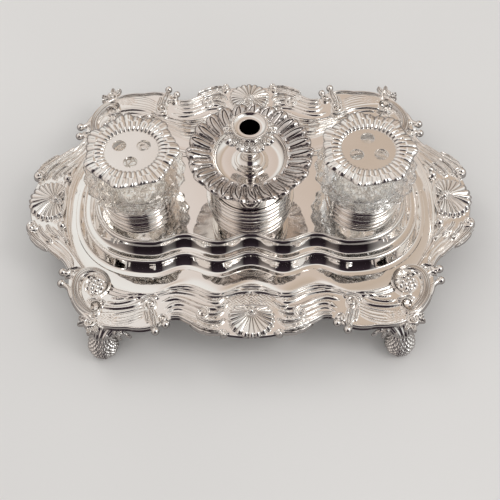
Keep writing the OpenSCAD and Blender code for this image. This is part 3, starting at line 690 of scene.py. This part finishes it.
def bump_disc(centre, radius, height, seeds, base=RIM, n=96, m=22):
    """A low dome covered with small curled bumps, as matted work has."""
    A, R = around(n, m, 0.03)
    x, y = R * radius * np.cos(A), R * radius * np.sin(A)
    k = np.arange(seeds)
    golden = k * 2.39996
    rad = radius * 0.92 * np.sqrt((k + 0.5) / seeds)
    d = np.min(np.hypot(x[..., None] - rad * np.cos(golden), y[..., None] - rad * np.sin(golden)), -1)
    cell = radius / math.sqrt(seeds) * 0.95
    z = height * (dome(R) * 0.62 + 0.38 * dome(d / cell) * (R < 0.97))
    z[:, -1] = 0
    v = np.stack([centre[0] + x, centre[1] + y, base + z], -1)
    return v.reshape(-1, 3), grid_faces(n, m) + caps(n, m, 0, m - 1)


def curl(centre, r0, r1, a0, a1, width, height):
    """A small volute that rises towards its eye."""
    return sweep(spiral(centre, r0, r1, a0, a1, 60), lambda t: width * (0.75 + 0.25 * t),
                 lambda U, S: height * dome(U) * (1.1 - 0.25 * S))


def shell_part(fan, radius):
    """Fan shell with ribs round a pearled hub, fan towards +X, flat side down at z = 0."""
    ribs, n_a, n_r = 17, 468, 34
    A, S = np.meshgrid(np.linspace(-fan, fan, n_a), np.linspace(0.1, 1, n_r), indexing="ij")
    swirl = A + 7 * np.sign(A) * smooth(np.abs(A) / 40) * S ** 2
    rib = wave(PI * ((A + fan) / (2 * fan) * ribs), 0.62)
    reach = radius * (1 - 0.36 * (np.abs(A) / fan) ** 2.6) * (0.93 + 0.07 * rib * smooth((S - 0.7) / 0.3))
    R = S * reach
    hump = 0.72 + 0.28 * smooth((S - 0.1) / 0.22) - 0.34 * S ** 2 - 0.3 * smooth((S - 0.9) / 0.1)
    depth = 0.36 * smooth((S - 0.05) / 0.3)
    top = polar(R, np.radians(swirl), SHELL_H * hump * (1 - depth + depth * rib))
    grid = np.concatenate([top, top[:, -1:] * [1, 1, 0]], 1)
    m = n_r + 1
    centre = n_a * m
    f = grid_faces(n_a, m, False) + [
        list(range(m)) + [centre], list(range((n_a - 1) * m, n_a * m))[::-1] + [centre]]
    for i in range(n_a - 1):
        f.append([i * m, (i + 1) * m, centre])
        f.append([i * m + m - 1, (i + 1) * m + m - 1, centre])
    fan_part = np.concatenate([grid.reshape(-1, 3), [[0, 0, 0]]]), f
    # a plain collar closes the fan behind the hub, with a small leaf at each end
    back = spline([(-4.8, -11), (-5.9, -6), (-6.1, 0), (-5.9, 6), (-4.8, 11)], 50)
    return merge([
        fan_part, bump_disc((-0.4, 0), 3.9, SHELL_H * 0.92, 7, 0, 70, 14),
        ball((-0.6, 0, SHELL_H * 0.86), 1.9), sweep(back, 1.1, bead(2.3), 0)] + [
        leaf_part([(-1.6, s * 3.2), (-3.2, s * 6), (-3.2, s * 9.4), (-1.4, s * 12.4)], 2.0, 2.6, 3, 0)
        for s in (1, -1)])


def shells():
    side, end = shell_part(112, SHELL_R), shell_part(114, SHELL_R - 1.4)
    hub_x, hub_y = TRAY_W / 2 - SHELL_R + 1, TRAY_D / 2 - SHELL_R + 2.2
    for name, part, turn, x, y in (
            ("right", side, 0, hub_x, 0), ("left", side, 180, -hub_x, 0),
            ("back", end, 90, 0, hub_y), ("front", end, -90, 0, -hub_y)):
        cast_piece("shell_" + name, placed(part, turn, (x, y, RIM)))


def scroll_part():
    """The corner: reeded C-band round a matted boss, a small volute at each end, the shoulder knot."""
    # the band opens towards the trough: its upper end curls over the boss, its lower end is a volute
    run = [(96.2, 75.6), (92.6, 71.8), (91.6, 66.2), (94.4, 60.4), (100, 57), (106, 57.2), (110.4, 60.6),
           (112.3, 66.4), (112, 73), (109.6, 79.4), (105.6, 84.8), (101, 88.2), (97, 87.4), (95.6, 84),
           (97.4, 81.2), (100.4, 82.2), (100.6, 84.6)]

    def band_w(t):
        return 0.8 + 2.9 * smooth(t / 0.42) - 2.6 * smooth((t - 0.68) / 0.24)

    def band(U, S):
        return 3.7 * reeded(3, 0.34)(U, S) * (0.72 + 0.28 * smooth(S / 0.3))
    parts = [
        sweep(spline(run, 210), band_w, band),
        bump_disc((100.4, 67.4), 7.2, 3.6, 13),
        leaf_part([(103, 79), (99.6, 78), (96.2, 79), (92.6, 79.4)], 1.9, 2.2, 2),
        # curled leaf over the foot
        curl((101.6, 95.2), 0.8, 4.0, 150, 150 + 430, 1.5, 3.4),
        bump_disc((101.6, 95.2), 2.0, 3.8, 6, n=40, m=10)]
    root = np.array([100.4, 94])
    for deg, length in ((-20, 5.4), (14, 5.6), (84, 6.6), (118, 7)):
        d = unit(deg)
        p0 = root + d * 3.4
        parts.append(leaf_part([p0] + [p0 + d * length * k for k in (0.4, 0.75, 0.98)], 2.1, 2.8, 3))
    parts += [
        # shoulder knot: volute, acanthus bar across the border and its ball, second volute with a ball
        curl((63.6, 82.4), 0.9, 4.2, 40 - 470, 40, 1.5, 3.6),
        leaf_part([(70.6, 79.4), (67.2, 77.2), (63, 76), (58.4, 77)], 2.0, 2.8, 2),
        leaf_part([(63.4, 86), (62.4, 90.4), (61, 95), (60.2, 99.6)], 3.6, 3.9, 3),
        leaf_part([(67.2, 86.2), (66, 90.6), (65.2, 95)], 2.0, 2.6, 2),
        ball((59.8, 101.8, RIM + 1.5), 2.6),
        curl((55.6, 93), 0.8, 3.4, 60 - 460, 60, 1.3, 3.3),
        ball((53.6, 97, RIM + 1.5), 2.5)]
    # two comma-shaped curls at the hollow neck beside the corner, and the leaves behind them
    for tail in ([(122, 57.6), (119.2, 58.4), (117.2, 56), (118, 52.4), (121, 48.8)],
                 [(122, 66.2), (119.2, 67.4), (117, 69.8), (116, 73.4), (114.6, 77)]):
        parts.append(ball((*tail[0], RIM + 1.2), 2.7))
        parts.append(sweep(spline(tail, 50), lambda t: 2.1 - 1.3 * t,
                           lambda U, S: 3.0 * dome(U) * (1 - 0.5 * S)))
    parts.append(leaf_part([(120.4, 61.6), (117, 60.4), (114.2, 62.4), (114.6, 66.4)], 1.5, 2.2, 2))
    parts.append(leaf_part([(119.4, 56.4), (116.4, 55.2), (112.6, 54.6), (109, 55.4)], 1.7, 2.6, 3))
    return merge(parts)


def side_leaf_part():
    """Leaf and hook beside a side shell, for one side of it."""
    strap = spline([(147, 25), (143.6, 29.6), (138.6, 34.2), (131.6, 40.4), (125, 47)], 90)
    return merge([
        curl((145.8, 21.0), 1.0, 4.1, 150 - 420, 150, 1.7, 3.8),
        ball((146.9, 22.4, RIM + 1.5), 2.8),
        # the round end of the frame behind the shell
        ball((126.6, 20.0, RIM + 0.7), 3.1),
        # a reeded strap sweeps from the hook along the hollow neck, with leaves inside it
        sweep(strap, lambda t: 2.4 - 1.4 * t, lambda U, S: 3.1 * reeded(2, 0.3)(U, S) * (1 - 0.5 * S)),
        leaf_part([(146.6, 28.6), (143.2, 32.8), (138.8, 37), (134.4, 40.4)], 1.8, 2.6, 3),
        leaf_part([(141.8, 20.6), (140.2, 25), (136.6, 29.6), (131.6, 33.6)], 2.7, 3.6, 3),
        leaf_part([(136.6, 19.4), (134.6, 23.4), (131, 27.6), (126.6, 30.6)], 2.2, 3.0, 3),
        leaf_part([(129.6, 24), (127, 26.8), (124.4, 30), (121, 33.4)], 1.8, 2.2, 2)])


def end_leaf_part():
    """Leaf beside an end shell, for one side of it, ending in a curled knob at the shell."""
    return merge([
        leaf_part([(38, 96), (33, 99.4), (27.5, 101.8), (22, 103), (18, 102.6)], 2.7, 3.8, 4),
        leaf_part([(34, 92.2), (29, 95), (24.6, 96), (19.8, 95.6), (16.2, 92.6)], 2.3, 3.2, 3),
        leaf_part([(30, 88.4), (26, 90.2), (21.6, 89.8), (17.0, 87.0)], 2.0, 2.6, 2),
        leaf_part([(24, 83.4), (20.6, 84.8), (16.8, 83.4), (14.2, 80.6)], 1.6, 2.2, 2),
        curl((31.4, 89.2), 1.0, 5.0, 200, 200 + 430, 1.5, 2.8),
        curl((17.6, 104), 0.8, 2.8, -60, -60 + 420, 1.25, 3.4),
        ball((17.6, 104, RIM + 2.0), 1.4, 14)])


def leaves():
    side, end = side_leaf_part(), end_leaf_part()
    for name, part, signs in (
            ("right", side, ((1, 1), (1, -1))), ("left", side, ((-1, 1), (-1, -1))),
            ("back", end, ((1, 1), (-1, 1))), ("front", end, ((1, -1), (-1, -1)))):
        cast_piece("leaves_" + name, merge([mirrored(part, *s) for s in signs]))


def rim_bead():
    """Edge moulding in short runs: a bold bead near the edge, a finer one inside it."""
    bold, fine = 1.6, 4.4       # how far in they lie

    def run(half, height, n, *curves):
        path = np.concatenate([c[:-1] for c in curves[:-1]] + [curves[-1]])
        return sweep(spline(path, n), half, bead(height))
    part = merge([
        run(1.1, 1.9, 110, edge(0, bold, 17.5, L_END[0], 30), neck(0, bold, 24, 0, 0.8)),
        run(1.1, 1.9, 110, edge(1, bold, L_START[1] + 12, L_END[1], 40), neck(1, bold, 10),
            edge(2, bold, L_START[2], L_END[2] - 14, 30)),
        run(1.1, 1.9, 110, neck(2, bold, 16, 0.35, 1), edge(3, bold, L_START[3], 80, 40)),
        run(0.7, 1.2, 100, edge(0, fine, 22, L_END[0], 30), neck(0, fine, 20, 0, 0.75)),
        run(0.7, 1.2, 100, neck(2, fine, 16, 0.4, 1), edge(3, fine, L_START[3], 74, 40))])
    part = merge([mirrored(part, sx, sy) for sx in (1, -1) for sy in (1, -1)])
    build("rim_bead_chased", part, CAST, "stand", ["rim_bead"])


# ---- feet
def foot_part():
    """Cast foot: shell ball with fine scales, leafy tufts each side of it under the border."""
    place = np.array([TRAY_W / 2 - 62, TRAY_D / 2 - 20])
    splay = np.array([7.2, 12.7])
    pad = RIM - DROP * 0.02 - TRAY_T
    b = 2 * FOOT_R
    ribs, scale_rows = 9, 10
    # radius as a share of the ball's, height, share of the splay, stretch along the tray
    rows = np.array([
        [0.5, 0, 1, 1], [0.84, b * 0.12, 1, 1], [1, b * 0.42, 1, 1], [0.93, b * 0.7, 1, 1],
        [0.68, b * 0.93, 0.95, 1.1], [0.56, b + 0.3 * (pad - b), 0.85, 1.5],
        [0.64, b + 0.65 * (pad - b), 0.6, 1.8], [0.82, b + 0.9 * (pad - b), 0.35, 1.7],
        [0.92, pad, 0.2, 1.5]])
    n = 216
    a = np.linspace(0, TAU, n, endpoint=False)
    flute = wave(ribs * a / 2, 0.7)
    rings = []
    for r, z, k, wide in spline(rows, 110):
        row = min(1, z / b) * scale_rows
        scales = wave(ribs * a + PI / 2 * np.floor(row), 0.6) * math.sin(PI * (0.12 + 0.8 * (row % 1)))
        relief = 0.15 * scales if z < b else 0.05 * np.cos(2 * ribs * a)
        q = FOOT_R * r * (0.93 - 0.05 * (1 - flute) + relief)
        x, y = place + splay * k
        ring = [x + q * wide * np.cos(a), y + q * np.sin(a), np.full(n, max(0, z))]
        rings.append(np.stack(ring, -1))
    v = np.stack(rings, 1).reshape(-1, 3)
    m = len(rings)
    parts = [(v, grid_faces(n, m) + caps(n, m, 0, m - 1))]
    # curled leaves over the knee and tufts to both sides, under and outside the border
    p0 = place + splay * 0.5
    z = np.interp(np.linspace(0, 1, 40), [0, 0.5, 1], [pad - 6, pad - 4.4, pad - 7])
    for deg, length, w in ((-38, 13, 2.6), (-12, 12, 2.4), (30, 9.5, 2.4), (60, 9, 2.6), (90, 9.5, 2.4),
                           (134, 14, 2.0), (152, 18, 2.1), (170, 14, 2.0)):
        d = unit(deg)
        path = spline([p0] + [p0 + d * length * k for k in (0.4, 0.75, 1)], 40)
        parts.append(leaf_on(path, w, 2.5, 4, z))
    return merge(parts)


def corner_pieces(kind, part, material=CAST):
    for name, sx, sy in CORNERS:
        cast_piece(kind + name, mirrored(part, sx, sy), material)


# ---- collars, pot
def collar(name, cx, bore):
    foot_h, t, foot_w, reeds = 1.4, 1.5, 3.2, 3
    pitch = (COLLAR_H - foot_h) / reeds
    reed_r = pitch / 2
    c = bore + t - reed_r * 0.45
    out_r = bore + t + foot_w
    pts = [(bore, 0), (out_r, 0)] + arc_points((out_r - 0.6, foot_h - 0.6), 0.6, 0, 90, 6)
    pts += [(c + reed_r * math.cos(math.asin(0.98)), foot_h)]
    for k in range(reeds):
        pts += arc_points((c, foot_h + pitch * (k + 0.5)), reed_r, -78, 78, 18)
    pts += [(bore + t * 0.7, COLLAR_H), (bore + 0.2, COLLAR_H), (bore, COLLAR_H - 0.2)]
    turned(name, "_turned", [(r, PLAT + z) for r, z in pts], 200, "stand", cx, closed=True)


def wafer_pot():
    wall, floor = POT_R - POT_T, PLAT + POT_T
    pts = [(AXIS_R, PLAT), (POT_R, PLAT), (POT_R, POT_TOP), (wall, POT_TOP), (wall, floor), (AXIS_R, floor)]
    turned("wafer_pot", "_drum", round_profile(pts, 0.4), 200, "wafer_pot")


# ---- glass wells
def triangle_wave(t):
    return np.abs((t % 1) - 0.5) * 2


def glass_well(side, s):
    cx = s * WELL_X
    z0 = COLLAR_H + SEAT
    rise = GLASS_H - NECK_H - z0
    belly = [(0.7, 0), (0.9, 0.08), (1.01, 0.34), (1.0, 0.56), (0.89, 0.8)]
    prof = spline([(r * GLASS_R, z0 + z * rise) for r, z in belly] + [(NECK_R + 2.0 + 0.8, z0 + rise)], 60)
    n, cuts, twist = 288, 18, 2.6
    A, K = around(n, len(prof))
    # crossed cuts that leave pointed diamonds, fading out at foot and shoulder
    p, q = A * cuts / TAU + K * twist, A * cuts / TAU - K * twist
    cut = np.maximum(triangle_wave(p), triangle_wave(q))
    fade = smooth(K / 0.10) * smooth((0.97 - K) / 0.10)
    R = np.interp(K, K[0], prof[:, 0]) - 2.1 * cut * fade
    outer = polar(R, A, PLAT + np.interp(K, K[0], prof[:, 1]), cx)

    def rings(*points):
        return [polar(r, A[:, :1], np.full((n, 1), PLAT + z), cx) for r, z in points]
    wall = 3.0
    cav_z, cav_r = z0 + wall, GLASS_R - wall
    low = rings((0.02, 0), (PLUG_R - 0.5, 0), (PLUG_R, 0.5), (PLUG_R, z0 - 0.01))
    up = rings((NECK_R, z0 + rise), (NECK_R, GLASS_H - 0.4), (NECK_R - 0.4, GLASS_H),
               (MOUTH_R + 0.4, GLASS_H), (MOUTH_R, GLASS_H - 0.4))
    cavity = spline([(MOUTH_R, GLASS_H - NECK_H - 2.6), (cav_r - 5, cav_z + 9), (cav_r - 6, cav_z + 3),
                     (PLUG_R - wall, cav_z - 1)], 16)
    inner = rings(*cavity, (PLUG_R - wall, 6.5), (PLUG_R - wall - 1.5, 5), (0.02, 5))
    stack = np.concatenate(low + [outer] + up + inner, 1)
    part = stack.reshape(-1, 3), grid_faces(*stack.shape[:2])
    floor_z = (PLAT + z0 - 2) / MM

    # the plug's faces take the ground glass with its painted glow
    def in_plug(p):
        return p[2] < floor_z and math.hypot(p[0] - cx / MM, p[1]) < (PLUG_R - 1) / MM
    build("glass_%s_cut" % side, part, CRYSTAL_L if s < 0 else CRYSTAL_R, "inkwell_" + side,
          ["glass_" + side], sharp=12, second=(GLOW_PAINTED_GROUND, in_plug))


def neck_mount(side, s):
    r0, r1 = NECK_R + SEAT, NECK_R + SEAT + 2
    z = GLASS_TOP - NECK_H
    pts = [(r0, z), (r1, z)] + arc_points((r1, z + NECK_H / 2), NECK_H / 4, -90, -270, 12)
    pts += [(r1, GLASS_TOP), (r0, GLASS_TOP)]
    turned("neck_mount_" + side, "_turned", round_profile(pts, 0.25), 180, "inkwell_" + side, s * WELL_X,
           closed=True)


# ---- lids
def quill_plate(side, s, first):
    """Pierced disc with softly rounded holes, made by mesh code so that the holes are clean."""
    circles = [(0, 0, PLATE_R, 240)]
    for k in range(3):
        a = math.radians(first + 120 * k)
        circles.append((QUILL_C * math.cos(a), QUILL_C * math.sin(a), QUILL_R, 64))
    bm = bmesh.new()
    for x, y, r, n in circles:
        loop = [bm.verts.new((x + r * math.cos(TAU * i / n), y + r * math.sin(TAU * i / n), 0))
                for i in range(n)]
        for i in range(n):
            bm.edges.new((loop[i], loop[(i + 1) % n]))
    bmesh.ops.triangle_fill(bm, use_beauty=True, use_dissolve=False, edges=bm.edges[:])
    raised = bmesh.ops.extrude_face_region(bm, geom=bm.faces[:])["geom"]
    raised = [g for g in raised if isinstance(g, bmesh.types.BMVert)]
    bmesh.ops.translate(bm, vec=(0, 0, PLATE_T), verts=raised)
    bmesh.ops.recalc_face_normals(bm, faces=bm.faces)
    sharp_edges = [e for e in bm.edges if len(e.link_faces) == 2 and e.calc_face_angle(0) > 0.9]
    bmesh.ops.bevel(bm, geom=sharp_edges, offset=0.18, segments=3, profile=0.5, affect="EDGES")
    bm.verts.index_update()
    v = np.array([p.co for p in bm.verts]) + [s * WELL_X, 0, GLASS_TOP]
    f = [[p.index for p in q.verts] for q in bm.faces]
    bm.free()
    build("quill_plate_%s_pierced" % side, (v, f), BURNISHED, "lid_" + side, ["quill_plate_" + side],
          sharp=10)


def lid_border(side, s):
    """Brim of a lid: short flutes next to the plate, then leaves that gather in seven lobes."""
    lobes_n, petals_n, flutes_n, m = 7, 28, 42, 46
    base = GLASS_TOP + PLATE_T
    seat = PLATE_R - 2
    A, T = around(flutes_n * 15, m)
    lobes = np.cos(lobes_n * A)
    k = (A * petals_n / TAU) % 1
    petal = wave(PI * k, 0.6)
    reach = 1.27 * lobes + 0.7 * (petal - 0.6) + 0.35 * np.cos(2 * lobes_n * A + 0.8)
    ridge = wave(flutes_n // 2 * A, 0.55)
    # the flutes cut into the wall round the plate as well
    R = seat + (LID_R - seat) * T + T ** 2 * reach + 0.75 * (1 - ridge) * smooth((0.14 - T) / 0.14)
    arch = np.interp(T, [0, 0.05, 0.17, 0.36, 0.6, 0.84, 0.94, 1],
                     [1.15, 1.55, 2.25, 2.45, 2.3, 1.75, 1.2, 0.5])
    fluted = smooth((T + 0.08) / 0.12) * smooth((0.56 - T) / 0.12)
    leafy = smooth((T - 0.46) / 0.12)
    crease = bell(k - 0.5, 0.07) * smooth((T - 0.55) / 0.1)
    Z = arch - 0.75 * fluted * (1 - ridge)
    Z += leafy * (0.95 * (petal - 0.7) - 0.28 * crease + 0.55 * lobes * T ** 2)
    top = polar(R, A, base + Z, s * WELL_X)
    under = top[:, (np.array([1.0, 0.85, 0.5, 0.15, 0.0]) * (m - 1)).astype(int)]
    under[:, 1:, 2] = np.maximum(base, under[:, 1:, 2] - 1.1)
    under[:, 0, 2] -= 0.7
    under[:, -2:, 2] = base
    cast_piece("lid_border_" + side, ring_part(top, under), body="lid_" + side)


def lid_bezel(side, s):
    """The ring below a plate, which keeps the lid in the neck."""
    r, z = MOUTH_R - GAP, GLASS_TOP - 5
    pts = round_profile([(r - 1, z), (r, z), (r, GLASS_TOP), (r - 1, GLASS_TOP)], 0.2)
    turned("lid_bezel_" + side, "_ring", pts, 140, "lid_" + side, s * WELL_X, True, UNPOLISHED)


# ---- taper stick
def pan():
    plug_r = POT_R - POT_T - GAP
    in_r = plug_r - PAN_T
    foot, rim, flange = PAN_WELL - PAN_DEPTH, PAN_WELL + 2 * PAN_T, POT_R + 1.4
    z, seat_z = POT_TOP, POT_TOP + PAN_SEAT
    pts = [(AXIS_R, seat_z), (in_r, seat_z), (in_r, z - 5), (plug_r, z - 5), (plug_r, z), (flange, z),
           (flange, seat_z), (rim, seat_z), (rim, PAN_RIM), (PAN_WELL, PAN_RIM)]
    pts += arc_points((foot, PAN_RIM), PAN_DEPTH, 0, -90, 30)[1:]
    pts += [(foot - 0.3, PAN_FLOOR), (foot - 0.8, PAN_FLOOR), (AXIS_R, PAN_FLOOR)]
    turned("pan", "_spun", round_profile(pts, 0.3), 220, "taperstick")


def pan_border():
    """Long leaves round the pan, rising outwards: a groove inside each one's outline, nicks outside
    the groove, deep cuts between the leaves."""
    leaves_n, m = 24, 50
    A, T = around(leaves_n * 40, m)
    bend = 0.10 * np.sin(A) * T ** 2        # the leaves lean a little to the back
    k = ((A + bend) * leaves_n / TAU + 0.5) % 1
    c = np.abs(k - 0.5) * 2                 # 0 in a leaf's middle, 1 between leaves
    tip = dome(c, 0.6, 2.2)
    r0 = PAN_WELL + 0.2
    uneven = 0.5 + 0.5 * np.cos(leaves_n / 2 * A)
    R = r0 + (PAN_R - r0) * T + T ** 2 * (2.0 * (tip - 0.7) + 0.9 * (uneven - 0.5))
    arch = PAN_RISE * np.interp(T, [0, 0.08, 0.18, 0.5, 0.78, 0.92, 1],
                                [0.24, 0.3, 0.38, 0.74, 1, 1.0, 0.8])
    open_up = smooth(T / 0.16)
    e = c / np.interp(T, [0, 0.15, 0.5, 0.8, 1], [0.66, 0.7, 0.84, 0.94, 0.86])     # 1 at its outline
    inside = dome(e, 0.6, 2.4)
    # the groove closes in a point near the tip
    loop = 0.58 * dome(T / 0.9, 1, 3) + 0.02
    groove = bell(e - loop, 0.11) * smooth((T - 0.08) / 0.1) * smooth((0.98 - T) / 0.1)
    nick = wave(PI * (5 * T - 1.2 * e), 0.5) * smooth((e - loop) / 0.1)
    Z = arch - 2.0 * open_up * (1 - inside) - 0.75 * groove * open_up
    Z = Z - 0.22 * (1 - nick) * (e > loop) * open_up * T
    top = polar(R, A, PAN_RIM + np.maximum(Z, 0.15))
    under = top[:, [m - 1, int(m * 0.86), int(m * 0.5), int(m * 0.2), 0]]
    under[..., 2] = PAN_RIM + np.array([0.66, 0.5, 0.34, 0, 0]) * PAN_RISE - np.array([0, 0, 0.6, 0, 0])
    under[:, 0, 2] = np.minimum(top[:, -1, 2] - 0.8, under[:, 0, 2] + 0.4)
    cast_piece("pan_border", ring_part(top, under), DARK_CAST, "taperstick")


def stem():
    z = PAN_FLOOR
    top = z + STEM_H
    cup = STEM_H - SOCKET_DEPTH - 2
    pts = [(AXIS_R, z), (12, z), (12, z + 1.2), (10, z + 1.2), (10, z + 2.4), (9, z + 2.6)]
    pts += arc_points((9, z + 7.4), 5, -93, -160, 14)
    pts += [(4.4, z + 7), (4.4, z + 8.2), (4.2, z + 8.2)]
    pts += arc_points((0, z + 10.2), 5.2, -24, 50, 22)
    pts += [(3.2, z + 14.4), (3.2, z + cup - 1.5), (4, z + cup - 1.5), (4.6, z + cup - 0.9),
            (SOCKET_R, z + cup + 2), (SOCKET_R, top), (SPIGOT_R + 0.1, top),
            (SPIGOT_R + 0.1, top - SOCKET_DEPTH), (AXIS_R, top - SOCKET_DEPTH)]
    turned("stem", "_turned", round_profile(pts, 0.3), 160, "taperstick")


def nozzle():
    z, top = SOCKET_Z, SOCKET_Z + NOZZLE_H
    bore_z = top - DISH_H - TAPER_D
    spigot_z = z + SEAT - SOCKET_DEPTH
    dish = NOZZLE_R - SPIGOT_R - 0.8
    cup = arc_points((NOZZLE_R + 0.6, z + 1), NOZZLE_H - 2.2, 180, 96, 20)
    pts = [(AXIS_R, spigot_z), (SPIGOT_R, spigot_z), (SPIGOT_R, z), (SOCKET_R + 0.6, z),
           (SOCKET_R + 0.6, z + 1)]
    pts += [p for p in cup if SPIGOT_R + 0.2 <= p[0] <= NOZZLE_R]
    pts += [(NOZZLE_R, top - 1.4), (NOZZLE_R + 0.15, top - 0.7), (NOZZLE_R, top), (NOZZLE_R - 0.8, top)]
    pts += arc_points((SPIGOT_R, top + 2.2), dish + 1.0, -34, -90, 14)[1:]
    pts += [(TAPER_R, top - 1.9), (TAPER_R, top - 4), (TAPER_R, bore_z), (AXIS_R, bore_z)]

    # the bore's faces take the near-black painted shade
    def in_bore(p):
        return math.hypot(p[0], p[1]) < (TAPER_R + 0.02) / MM and p[2] > (bore_z - 0.1) / MM
    turned("nozzle", "_turned", round_profile(pts, 0.2), 200, "nozzle", second=(BORE_PAINTED_SHADE, in_bore))


def nozzle_leaves():
    """Leafy drip border of the nozzle: nine leaves of uneven reach, with three lobes each."""
    leaves_n, m = 9, 38
    base = SOCKET_Z + 1
    A, T = around(leaves_n * 54, m)
    turn = A * leaves_n / TAU + 0.25
    k = turn % 1
    c = np.abs(k - 0.5) * 2
    lobe = wave(PI * 3 * (k - 0.5) + PI / 2, 0.6)
    uneven = 0.5 + 0.5 * np.cos(2.6 * np.floor(turn))
    inner = SPIGOT_R + 0.3
    R = inner + (DRIP_R - inner) * T * (1 - 0.34 * (1 - dome(c, 1, 2.4)) * T)
    R = R + T ** 2 * (1.0 * (lobe - 0.6) + 0.7 * (uneven - 0.6))
    arch = np.interp(T, [0, 0.25, 0.6, 0.85, 1], [1.1, 1.5, 2.0, 1.7, 0.7])
    rib = bell(c, 0.15)
    vein = wave(PI * (5 * T - 2.4 * c))
    open_up = smooth(T * 2)
    Z = arch + 0.35 * rib * open_up - 1.0 * bell(1 - c, 0.16) * open_up
    Z += -0.35 * (1 - vein) * (1 - rib) * open_up + 0.5 * (lobe - 0.5) * T ** 2
    top = polar(R, A, base + Z)
    under = top[:, [m - 1, int(m * 0.7), int(m * 0.3), 0]]
    under[..., 2] = np.maximum(base - 0.6, under[..., 2] - 0.8)
    under[:, 2:, 2] = base
    cast_piece("nozzle_leaves", ring_part(top, under), body="nozzle")


tray_border()
tray_floor()
platform()
rim_bead()
shells()
corner_pieces("scroll_", scroll_part())
leaves()
corner_pieces("foot_", foot_part(), FOOT_LIT_CAST)
collar("collar_left", -WELL_X, PLUG_R + GAP)
collar("collar_centre", 0, POT_R + GAP)
collar("collar_right", WELL_X, PLUG_R + GAP)
wafer_pot()
for side, s, first in (("left", -1, -90), ("right", 1, 90)):
    glass_well(side, s)
    neck_mount(side, s)
    quill_plate(side, s, first)
    lid_border(side, s)
    lid_bezel(side, s)
pan()
pan_border()
stem()
nozzle()
nozzle_leaves()

# ---- stage, light, camera
floor_mat, tree, shader, coords = material("floor_pale")
pale = ramp(tree, noise(tree, coords, 3, 2), [(0.3, (0.76, 0.75, 0.74)), (0.7, (0.80, 0.79, 0.78))])
# polished metal mirrors a darker table than the eye sees, so that its forms read
feed(tree, shader, {
    "Roughness": 0.9, "Base Color": blend_colour(tree, glossy_ray(tree), pale, (0.30, 0.28, 0.27))})
FLOOR_HALF = 4
me = bpy.data.meshes.new("floor")
me.from_pydata([(sx * FLOOR_HALF, sy * FLOOR_HALF, 0) for sx, sy in ((-1, -1), (1, -1), (1, 1), (-1, 1))],
               [], [(0, 1, 2, 3)])
me.materials.append(floor_mat)
ob = add_object("floor", me)


def area(name, size, loc, target, power, colour):
    light = bpy.data.lights.new(name, "AREA")
    light.shape = "RECTANGLE"
    light.size, light.size_y = size
    light.energy = power
    light.color = colour
    ob = add_object(name, light)
    ob.location = loc
    ob.rotation_euler = (Vector(target) - Vector(loc)).to_track_quat("-Z", "Y").to_euler()
    return ob


# lights the left from behind, and isn't mirrored itself: the trough there would go plain white
area("softbox_back_left", (0.5, 0.45), (-0.62, 0.62, 0.95), (-0.08, 0, 0.03), 1.6,
     (1.0, 1.0, 0.97)).visible_glossy = False
area("softbox_right", (0.45, 0.4), (0.72, -0.3, 0.9), (0, 0, 0.05), 1.9, (1.0, 0.99, 0.98))

# the studio round the piece, as polished silver mirrors it: colour by compass angle and by height
DIM = (0.028, 0.02, 0.026)
WHITE = (0.67, 0.66, 0.635)
COMPASS = [
    (0.0, DIM), (0.066, DIM), (0.126, (0.58, 0.52, 0.48)), (0.33, (0.62, 0.57, 0.53)),
    (0.42, (0.70, 0.695, 0.67)), (0.455, (0.68, 0.66, 0.635)), (0.475, (0.63, 0.58, 0.545)),
    (0.5, (0.56, 0.48, 0.43)), (0.53, (0.49, 0.405, 0.335)), (0.56, (0.45, 0.37, 0.30)),
    (0.66, (0.56, 0.50, 0.45)), (0.70, WHITE), (0.878, WHITE), (0.934, DIM), (1.0, DIM)]
HEIGHTS = [(0.0, (0.34, 0.32, 0.32)), (0.12, (0.42, 0.40, 0.39)), (0.30, (0.78, 0.77, 0.76)),
           (0.5, (1, 1, 1)), (1.0, (1, 1, 1))]
GAIN = 1.22

world = bpy.data.worlds.new("studio")
bpy.context.scene.world = world
world.use_nodes = True
tree = world.node_tree
way = add_node(tree, "TexCoord", {}, "Generated")
xyz = tree.nodes.new("ShaderNodeSeparateXYZ")
tree.links.new(way, xyz.inputs[0])
x, y, z = xyz.outputs
compass = add_node(tree, "Math", {0: x, 1: y}, operation="ARCTAN2")
compass = add_node(tree, "Math", {0: compass, 1: 1 / TAU, 2: 0.5}, operation="MULTIPLY_ADD")
walls = blend_colour(tree, 1.0, ramp(tree, compass, COMPASS), ramp(tree, z, HEIGHTS), "MULTIPLY")
overhead = ramp(tree, z, [(0.955, (0, 0, 0)), (0.985, (1, 1, 1))])
room = blend_colour(tree, overhead, walls, (0.70, 0.665, 0.63))
room = blend_colour(tree, 1.0, room, (GAIN, GAIN, GAIN), "MULTIPLY")
feed(tree, tree.nodes["Background"], {
    0: blend_colour(tree, glossy_ray(tree), (0.74, 0.73, 0.72), room), 1: 1.0})

# the photograph's camera, fitted to the tray's outline
CAM_AT, CAM_DOWN, CAM_ROLL = (-0.0005, -0.379577, 0.536945), 56.341, -0.5
FOCAL_PX, PHOTO_PX, SENSOR = 927.583, 500, 36
cam_data = bpy.data.cameras.new("camera")
cam = add_object("camera", cam_data)
pitch, roll = math.radians(CAM_DOWN), math.radians(CAM_ROLL)
forward = np.array([0, math.cos(pitch), -math.sin(pitch)])
right = np.array([1.0, 0, 0])
up = np.cross(right, forward)
right, up = (right * math.cos(roll) + up * math.sin(roll), up * math.cos(roll) - right * math.sin(roll))
cam.matrix_world = Matrix([*zip(right, up, -forward, CAM_AT), (0, 0, 0, 1)])
cam_data.sensor_fit = "HORIZONTAL"
cam_data.sensor_width = SENSOR
cam_data.lens = SENSOR * FOCAL_PX / PHOTO_PX
cam_data.clip_start = 0.01
bpy.context.scene.camera = cam
bpy.context.scene.view_settings.view_transform = "Standard"
